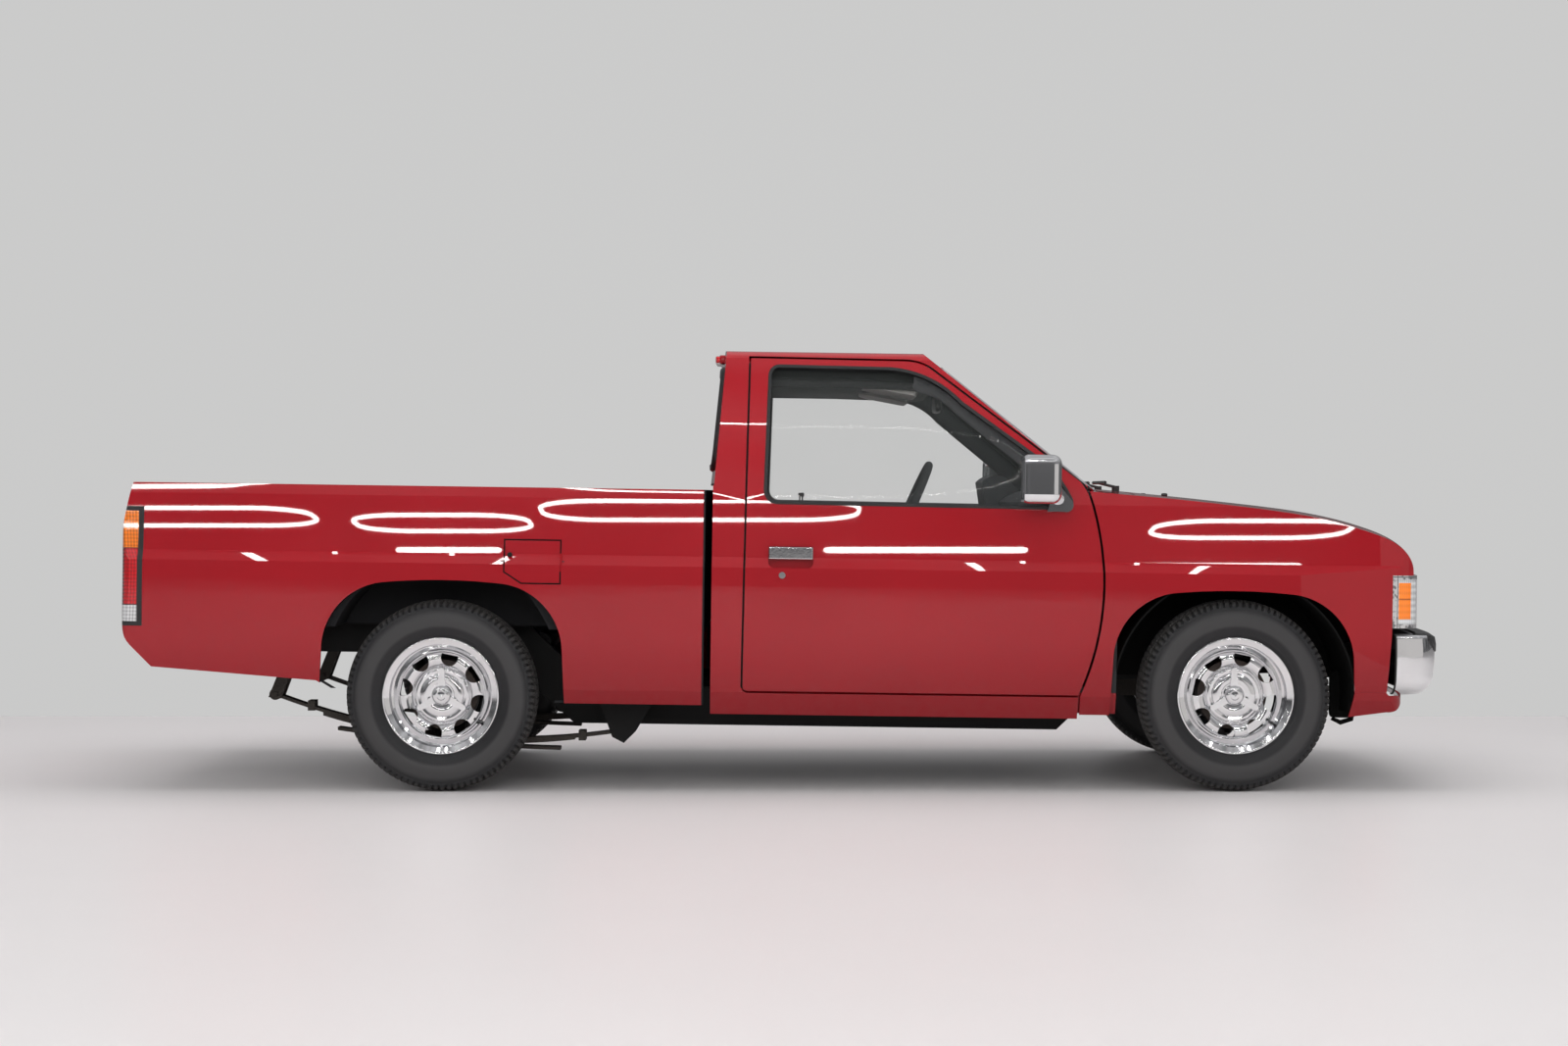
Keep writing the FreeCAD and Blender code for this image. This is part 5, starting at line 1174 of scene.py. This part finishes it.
def bench_cushions():
    """Two pebbles, the cushion and the leaned backrest, blown up as cloth and sewn into channels."""
    x0 = AXLE_FRONT
    cushion = pebble((x0 - 1.215, 0.0, 0.600), (0.238, 0.622, 0.078), 0.22, 120, 41)
    back = leaned(pebble((0.0, 0.0, 0.0), (0.052, 0.618, 0.205), 0.24, 120, 41), 11, (x0 - 1.535, 0.0, 0.728))
    for name, part, axis in (("seat_cushion", cushion, UP), ("seat_back", back, (1.0, 0.0, 0.2))):
        piece = sheet_piece(name, raked([part]), "truck", "seat_cloth")
        puffed(piece, PUFF)
        sewn(piece, axis)
        smooth = piece.modifiers.new("Smooth", "SUBSURF")
        smooth.levels = smooth.render_levels = 1
        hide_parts("bench_seat")


def seat_piping():
    """A round cord carried round the cushion's upper edge."""
    x0, height = AXLE_FRONT, 0.672
    loop = rounded_box(x0 - 1.446, -0.612, x0 - 0.984, 0.612, 0.05, 0.02)
    path = np.concatenate([loop, np.full((len(loop), 1), height)], 1)
    cord = (carried(path, UP, ring_profile(0.005, 8)), True, True)
    sheet_piece("seat_piping", raked([cord]), "truck", "cabin_trim")


def seat_rails():
    """Two rods along the floor on short upright legs."""
    x0 = AXLE_FRONT
    rails, legs = [], []
    for s in (-1, 1):
        y = s * 0.45
        rails.append(tube([(x0 - 1.44, y, 0.495), (x0 - 1.00, y, 0.495)], 0.016))
        legs += [tube([(x0 + a, y, 0.432), (x0 + a, y, 0.50)], 0.014) for a in (-1.42, -1.02)]
    sheet_piece("seat_rails", raked(rails + legs), "truck", "black_steel")


# Cabin

def sun_visors():
    """A flat pebble above each seat, leaned nose down."""
    board = pebble((0.0, 0.0, 0.0), (0.092, 0.200, 0.009), 0.16)
    visors = [leaned(board, -10, (0.345, side * 0.345, 1.370)) for side in (-1, 1)]
    sheet_piece("sun_visors", raked(visors), "truck", "pale_trim")


def roof_lining():
    """A flat pebble that falls with the squares of the way to its sides and to its front."""
    long, wide = 0.345, 0.590
    lining, u, v = pebble((0.0, 0.0, 0.0), (long, wide, 0.016), 0.2, 64, 17)
    sides, front = lining[..., 1] / wide, np.clip(lining[..., 0] / long, 0, 1)
    lining[..., 2] += 1.404 - 0.020 * sides ** 2 - 0.012 * front ** 2
    lining[..., 0] += 0.165
    sheet_piece("roof_lining", raked([(lining, u, v)]), "truck", "dark_trim")


def pillar_trims():
    """An ellipse carried along each pillar's line, inside the body's side."""
    bend = ((0.505, 1.372), (0.585, 1.312))
    line = trace((0.42, 1.398), bend, (0.800, 1.142), (0.895, 1.045), spacing=0.02)
    section = ring_profile(1.0, 16) * np.array([0.034, 0.013])
    trims = []
    for side in (-1, 1):
        y = side * (side_width(line[:, 1]) - 0.078)
        path = np.stack([line[:, 0], y, line[:, 1]], -1)
        trims.append((capped(carried(path, (0.0, side, 0.0), section, closed=False)), False, True))
    sheet_piece("pillar_trims", raked(trims), "truck", "cabin_trim")


def inner_mirror():
    """A pebble on a short stalk under the roof."""
    shell = pebble((0.530, 0.0, 1.338), (0.014, 0.118, 0.032), 0.45)
    stalk = tube([(0.535, 0.0, 1.350), (0.515, 0.0, 1.400)], 0.008)
    sheet_piece("rear_view_mirror", raked([shell, stalk]), "truck", "black_plastic")


def gear_lever():
    """A bent rod with a turned knob, in a turned boot whose radius falls in folds."""
    x0 = AXLE_FRONT
    lever = tube([(x0 - 0.930, 0.0, 0.53), (x0 - 0.900, 0.01, 0.70), (x0 - 0.850, 0.015, 0.935)], 0.0075)
    profile = [(-0.006, 0.0), (-0.004, 0.012), (0.012, 0.0185), (0.034, 0.0205), (0.050, 0.014), (0.053, 0.0)]
    knob = turned(profile, (x0 - 0.850, 0.015, 0.925), (0.2, 0.0, 1.0), 24)
    folds = [(0.0, 0.074), (0.014, 0.070), (0.022, 0.056), (0.034, 0.052), (0.046, 0.036), (0.060, 0.032),
             (0.074, 0.014), (0.078, 0.0)]
    boot = turned(folds, (x0 - 0.930, 0.0, 0.540), UP, 32)
    sheet_piece("gear_lever", raked([lever, knob, boot]), "truck", "black_plastic")


def pedals():
    """Three pebbles, each on a bent rod."""
    x0 = AXLE_FRONT
    parts = []
    for y in (0.27, 0.35, 0.45):
        parts.append(pebble((x0 - 0.535, y, 0.500), (0.012, 0.030, 0.034), 0.4, 24, 13))
        parts.append(tube([(x0 - 0.528, y, 0.51), (x0 - 0.500, y, 0.62), (x0 - 0.49, y, 0.70)], 0.006))
    sheet_piece("pedals", raked(parts), "truck", "black_plastic")


def column_stalks():
    """A rod out of each side of the steering column."""
    x0, middle = AXLE_FRONT, 0.35
    parts = []
    for side in (-1, 1):
        start = (x0 - 0.975, middle + side * 0.03, 0.918)
        parts.append(tube([start, (x0 - 0.995, middle + side * 0.155, 0.940)], 0.0055))
    sheet_piece("column_stalks", raked(parts), "truck", "black_plastic")


# Outer details

def struck(node, start, way):
    """Where a ray first meets a CAD node."""
    hit, place, _, _ = NODES[node].ray_cast(start, way)
    if not hit:
        raise RuntimeError("nothing of %s lies on the way from %s" % (node, start))
    return place


def top_of(node, x, y):
    """Height of a CAD node's highest surface over a point of the ground."""
    return struck(node, (x, y, 3.0), (0.0, 0.0, -1.0)).z


def washer_nozzles():
    """Two small pebbles on the hood's surface."""
    x = AXLE_FRONT - 0.175
    parts = [pebble((x, y, top_of("hood", x, y) + 0.003), (0.011, 0.008, 0.006), 0.6, 20, 11)
             for y in (-0.30, 0.30)]
    sheet_piece("washer_nozzles", parts, "hood", "black_plastic")


def high_brake_lamp():
    """A wide pebble under the roof's rear edge, on a slightly larger painted one."""
    z = top_of("cab_shell", -0.215, 0.0) - 0.022
    back = struck("cab_shell", (-1.0, 0.0, z), (1.0, 0.0, 0.0)).x
    base = pebble((back - 0.006, 0.0, z), (0.014, 0.158, 0.0175), 0.3, 40, 17)
    lens = pebble((back - 0.020, 0.0, z), (0.014, 0.150, 0.0140), 0.35, 40, 17)
    sheet_piece("high_brake_lamp_base", [base], "truck", "red_paint")
    sheet_piece("high_brake_lamp", [lens], "truck", "red_lens")


def flap_catch():
    """A thin near-black turned disc on the fuel flap, painted shade for the catch's finger recess."""
    profile = [(-0.001, 0.0), (-0.001, 0.0085), (0.0012, 0.0080), (0.0020, 0.0), (0.0021, 0.0)]
    catch = turned(profile, (-0.923, -0.8252, 0.794), (0, -1, 0), 24)
    sheet_piece("flap_catch", raked([catch]), "fuel_flap", "hole_dark")


def tailgate_latch():
    """A flat pebble with a narrower lip on it, at the middle of the tailgate."""
    x = TAIL_X - 0.002
    surround = pebble((x, 0.0, 0.905), (0.006, 0.105, 0.042), 0.3, 40, 17)
    lip = pebble((x - 0.006, 0.0, 0.918), (0.006, 0.080, 0.014), 0.45, 32, 13)
    sheet_piece("tailgate_latch", raked([surround, lip]), "tailgate", "black_plastic")


VALVE_ANGLE = math.radians(-36)
VALVE_RADIUS = 0.160


def valve_stems():
    """A thin rod with a turned cap, at the same angle and radius on each wheel."""
    out = np.array([math.cos(VALVE_ANGLE) * VALVE_RADIUS, 0.0, math.sin(VALVE_ANGLE) * VALVE_RADIUS])
    profile = [(-0.002, 0.0), (-0.002, 0.0052), (0.009, 0.0050), (0.0105, 0.0)]
    for end, axle in AXLES:
        for hand, side in BOTH:
            hub = np.array([axle + SHIFT, side * TRACK_HALF, HUB_Z])
            start = hub + out + np.array([0.0, side * 0.028, 0.0])
            far = start + np.array([-0.006, side * 0.034, 0.004])
            stem = tube([start, far], 0.0042, 12)
            cap = turned(profile, far, far - start, 14)
            wheel = "%s_%s" % (end, hand)
            sheet_piece("valve_stem_" + wheel, [stem, cap], "wheel_" + wheel, "black_plastic")


def tie_down_hooks():
    """A pebble for the plate and a bent rod for the hook, under each side of the nose."""
    bends = ((0.372, 0.300), (0.366, 0.268), (0.392, 0.256), (0.430, 0.268), (0.432, 0.300))
    parts = []
    for side in (-1, 1):
        y = side * 0.56
        parts.append(pebble((AXLE_FRONT + 0.398, y, 0.352), (0.046, 0.010, 0.080), 0.25, 28, 15))
        parts.append(tube([(AXLE_FRONT + x, y, z) for x, z in bends], 0.0085, 12))
    sheet_piece("tie_down_hooks", raked(parts), "truck", "wing_black")


def shock_absorbers():
    """Two rods end to end, the upper one wider, from the axle up to the frame on each side."""
    parts = []
    for side in (-1, 1):
        low, high = np.array((-1.215, side * 0.425, 0.255)), np.array((-1.330, side * 0.345, 0.545))
        middle = low + (high - low) * 0.55
        parts += [tube([low, middle], 0.021, 20), tube([middle, high], 0.0265, 20)]
    sheet_piece("rear_shock_absorbers", raked(parts), "truck", "black_steel")


# Stage

WALL_Y = 2.45
FLOOR_HALF = 40
LAMPS = (
    # name, place, aim, size across, size along, watts
    ("overhead", (0.0, -0.5, 5.2), (0.0, 0.0, 0.4), 7.0, 4.5, 260.0),
    ("camera_side", (0.0, -8.5, 3.6), (0.0, 0.0, 0.6), 9.0, 3.0, 300.0),
    ("nose_side", (7.5, -2.0, 3.0), (0.5, 0.0, 0.6), 3.5, 3.0, 90.0),
    ("tail_side", (-7.5, -2.0, 3.0), (-0.5, 0.0, 0.6), 3.5, 3.0, 90.0),
    ("far_side", (0.0, 6.0, 2.6), (0.0, 0.0, 0.3), 9.0, 2.5, 200.0),
)
LAMP_SHARE = 0.95
RINGS = (
    # middle, half length, half width
    ((-3.80, -9.24, 2.01), 0.85, 0.43),
    ((-2.14, -9.24, 1.97), 0.55, 0.40),
    ((-0.52, -9.24, 2.05), 1.00, 0.46),
    ((0.90, -9.24, 1.80), 0.63, 0.05),
    ((-2.10, -9.24, 1.80), 0.32, 0.04),
    ((2.95, -9.24, 1.93), 0.62, 0.43),
    ((2.75, -9.24, 1.70), 0.50, 0.04),
    ((-3.8, -5.3, 4.3), 1.5, 1.1),
    ((-0.2, -5.3, 4.3), 1.5, 1.1),
    ((3.4, -5.3, 4.3), 1.5, 1.1),
)
RING_TUBE = 0.013
CARD = ((3.5, -8.0, 0.0), (9.0, -3.0, 0.0), (9.0, -3.0, 2.0), (3.5, -8.0, 2.0))
CAMERA_X = -0.0075
LENS = 65.6
HORIZON_SHIFT = -0.0191


def stage_mesh(name, vertices, faces, material):
    mesh = bpy.data.meshes.new(name)
    mesh.from_pydata(vertices, [], faces)
    mesh.materials.append(material)
    item = added(name, mesh)
    return item


def stage_floor():
    """A wide pale floor."""
    f = Finish("studio_floor")
    tone = tuple(colours().floor)
    cloud = f.noise(0.6, 4.0)
    base = f.mix(cloud, tone, times(tone, 0.94))
    f.surface(**{"Base Color": base, "Roughness": 0.30 + cloud * 0.15, "Specular IOR Level": 0.35})
    corners = [(x * FLOOR_HALF, y * FLOOR_HALF, 0) for x, y in ((-1, -1), (1, -1), (1, 1), (-1, 1))]
    stage_mesh("studio_floor", corners, [(0, 1, 2, 3)], f.material)


def stage_wall():
    """A pale wall behind the truck, which is clear from its back so that views from there see the truck."""
    f = Finish("studio_wall")
    tone = tuple(colours().wall)
    x, _, z = f.split(f.place())
    # Painted light: the wall glows brightest at its middle and dimmer towards its ends, top and foot.
    glow = 1.0 - (((x / 9.0) ** 2.0) * 0.12 + ((z - 2.4) / 3.0) ** 2.0 * 0.10)
    lit = f.add("ShaderNodeEmission", None, {"Color": f.mix(glow.clamped(), times(tone, 0.72), tone)})
    clear = f.add("ShaderNodeBsdfTransparent")
    back = f.add("ShaderNodeNewGeometry", out="Backfacing")
    f.join(f.add("ShaderNodeMixShader", None, {0: back, 1: lit, 2: clear}))
    corners = [(-30, WALL_Y, -0.01), (30, WALL_Y, -0.01), (30, WALL_Y, 14), (-30, WALL_Y, 14)]
    wall = stage_mesh("studio_wall", corners, [(0, 1, 2, 3)], f.material)
    wall.visible_glossy = False
    wall.visible_shadow = False


def stage_lamps():
    """Large soft lamps round the truck, which no surface mirrors."""
    for name, place, aim, wide, tall, watts in LAMPS:
        data = bpy.data.lights.new("lamp_" + name, "AREA")
        data.shape = "RECTANGLE"
        data.size, data.size_y, data.energy = wide, tall, watts * LAMP_SHARE
        lamp = added("lamp_" + name, data)
        lamp.location = place
        lamp.rotation_euler = (Vector(aim) - Vector(place)).to_track_quat("-Z", "Y").to_euler()
        lamp.visible_glossy = False


def stage_rings():
    """The hall's ring-shaped ceiling lights, seen in the paint."""
    f = Finish("ring_light")
    f.join(f.add("ShaderNodeEmission", None, {"Color": (1.0, 0.99, 0.97), "Strength": 34.0}))
    for k, (middle, long, wide) in enumerate(RINGS):
        loop = rounded_box(-long, -wide, long, wide, wide * 0.8, 0.05)
        path = np.concatenate([loop, np.zeros((len(loop), 1))], 1) + np.array(middle)
        vertices, faces = gathered([(carried(path, UP, ring_profile(RING_TUBE, 8)), True, True)])
        ring = stage_mesh("ring_light_%d" % k, vertices.tolist(), faces.tolist(), f.material)
        ring.visible_camera = False


def stage_card():
    """A pale card beyond the nose, seen only in the bumper's and the lamps' reflections."""
    f = Finish("pale_card")
    f.join(f.add("ShaderNodeEmission", None, {"Color": (0.60, 0.58, 0.57)}))
    card = stage_mesh("pale_card", CARD, [(0, 1, 2, 3)], f.material)
    card.visible_camera = False
    card.visible_diffuse = False
    card.visible_shadow = False


def stage_world():
    """An even pale world for camera and diffuse light, and a darker one near the horizon in reflections."""
    world = bpy.data.worlds.new("studio")
    bpy.context.scene.world = world
    g = Graph(world, "ShaderNodeOutputWorld")
    way = g.coordinates.output("Generated")
    height = g.split(way)[2]
    clutter = g.add("ShaderNodeTexNoise", None, {"Vector": way, "Scale": 7.0, "Detail": 3.0}).ramp(0.36, 0.64)
    stops = ((0.02, (0.12, 0.12, 0.123)), (0.75, (0.52, 0.52, 0.53)))
    tones = g.add("ShaderNodeValToRGB", {"stops": stops}, {0: height})
    mirrored = g.add("ShaderNodeBackground", None, {"Color": tones, "Strength": 0.45 + clutter * 0.95})
    even = g.add("ShaderNodeBackground", None, {"Color": (1.0, 0.995, 0.985), "Strength": 0.42})
    seen = g.add("ShaderNodeBackground", None, {"Color": (0.62, 0.62, 0.62)})
    path = g.add("ShaderNodeLightPath", out="Is Camera Ray")
    lit = g.add("ShaderNodeMixShader", None, {0: path.output("Is Glossy Ray"), 1: even, 2: mirrored})
    g.join(g.add("ShaderNodeMixShader", None, {0: path, 1: lit, 2: seen}))


def stage_camera():
    """A level camera on the truck's right, at about the photograph's height and distance."""
    data = bpy.data.cameras.new("studio_camera")
    data.lens = LENS
    data.sensor_width = 36.0
    data.shift_y = HORIZON_SHIFT
    camera = added("studio_camera", data)
    camera.location = (CAMERA_X, -sizes().camera_distance, sizes().camera_height)
    camera.rotation_euler = (math.pi / 2, 0, 0)
    bpy.context.scene.camera = camera
    bpy.context.scene.view_settings.view_transform = "Standard"


# The add-on

class TRUCK_OT_finishes(bpy.types.Operator):
    """Give every solid of the frame its paint, plating, rubber or glass"""
    bl_idname = "truck.finishes"
    bl_label = "Paint and plating"

    def execute(self, context):
        node_finishes()
        return {"FINISHED"}


class TRUCK_OT_tyres(bpy.types.Operator):
    """Make the four tyres with their tread and sidewalls"""
    bl_idname = "truck.tyres"
    bl_label = "Tyres"

    def execute(self, context):
        tyres()
        return {"FINISHED"}


class TRUCK_OT_window_seals(bpy.types.Operator):
    """Make the rubber round the door windows"""
    bl_idname = "truck.window_seals"
    bl_label = "Window seals"

    def execute(self, context):
        window_rubbers()
        return {"FINISHED"}


class TRUCK_OT_screen_trim(bpy.types.Operator):
    """Make the rubber and bright trim round the windshield and the rubber round the back window"""
    bl_idname = "truck.screen_trim"
    bl_label = "Windshield trim"

    def execute(self, context):
        windshield_trim()
        rear_window_rubber()
        return {"FINISHED"}


class TRUCK_OT_bumper_pad(bpy.types.Operator):
    """Make the black step pad along the top of the front bumper"""
    bl_idname = "truck.bumper_pad"
    bl_label = "Bumper pad"

    def execute(self, context):
        bumper_step_pad()
        return {"FINISHED"}


class TRUCK_OT_door_details(bpy.types.Operator):
    """Make the mirror faces, lock knobs, armrests, pulls and window winders of the doors"""
    bl_idname = "truck.door_details"
    bl_label = "Door details"

    def execute(self, context):
        door_details()
        return {"FINISHED"}


class TRUCK_OT_bench(bpy.types.Operator):
    """Make the padded bench with its piping and rails"""
    bl_idname = "truck.bench"
    bl_label = "Bench seat"

    def execute(self, context):
        bench_cushions()
        seat_piping()
        seat_rails()
        return {"FINISHED"}


class TRUCK_OT_cabin(bpy.types.Operator):
    """Make the visors, roof lining, pillar trims, mirror, gear lever, pedals and stalks inside the cab"""
    bl_idname = "truck.cabin"
    bl_label = "Cabin details"

    def execute(self, context):
        sun_visors()
        roof_lining()
        pillar_trims()
        inner_mirror()
        gear_lever()
        pedals()
        column_stalks()
        return {"FINISHED"}


class TRUCK_OT_outer_details(bpy.types.Operator):
    """Make the small outer pieces: nozzles, brake lamp, catch, latch, valves, hooks and shock absorbers"""
    bl_idname = "truck.outer_details"
    bl_label = "Outer details"

    def execute(self, context):
        washer_nozzles()
        high_brake_lamp()
        flap_catch()
        tailgate_latch()
        valve_stems()
        tie_down_hooks()
        shock_absorbers()
        return {"FINISHED"}


class TRUCK_OT_stage(bpy.types.Operator):
    """Make the floor, the wall, the lamps, the room and the camera"""
    bl_idname = "truck.stage"
    bl_label = "Stage"

    def execute(self, context):
        stage_floor()
        stage_wall()
        stage_lamps()
        stage_rings()
        stage_card()
        stage_world()
        stage_camera()
        return {"FINISHED"}


OPERATORS = (TRUCK_OT_finishes, TRUCK_OT_tyres, TRUCK_OT_window_seals, TRUCK_OT_screen_trim,
             TRUCK_OT_bumper_pad, TRUCK_OT_door_details, TRUCK_OT_bench, TRUCK_OT_cabin,
             TRUCK_OT_outer_details, TRUCK_OT_stage)


class TRUCK_PT_build(bpy.types.Panel):
    """Lists the steps that dress the truck"""
    bl_idname = "TRUCK_PT_build"
    bl_label = "Truck"
    bl_space_type = "VIEW_3D"
    bl_region_type = "UI"
    bl_category = "Truck"

    def draw(self, context):
        for step in OPERATORS:
            self.layout.operator(step.bl_idname)
        for group in (context.scene.truck_sizes, context.scene.truck_colours):
            for name in group.__annotations__:
                self.layout.prop(group, name)


CLASSES = (TruckSizes, TruckColours, *OPERATORS, TRUCK_PT_build)


def register():
    for item in CLASSES:
        bpy.utils.register_class(item)
    bpy.types.Scene.truck_sizes = bpy.props.PointerProperty(type=TruckSizes)
    bpy.types.Scene.truck_colours = bpy.props.PointerProperty(type=TruckColours)


def unregister():
    del bpy.types.Scene.truck_colours
    del bpy.types.Scene.truck_sizes
    for item in reversed(CLASSES):
        bpy.utils.unregister_class(item)


def main():
    register()
    for step in OPERATORS:
        group, name = step.bl_idname.split(".")
        getattr(getattr(bpy.ops, group), name)()


if __name__ == "__main__":
    main()
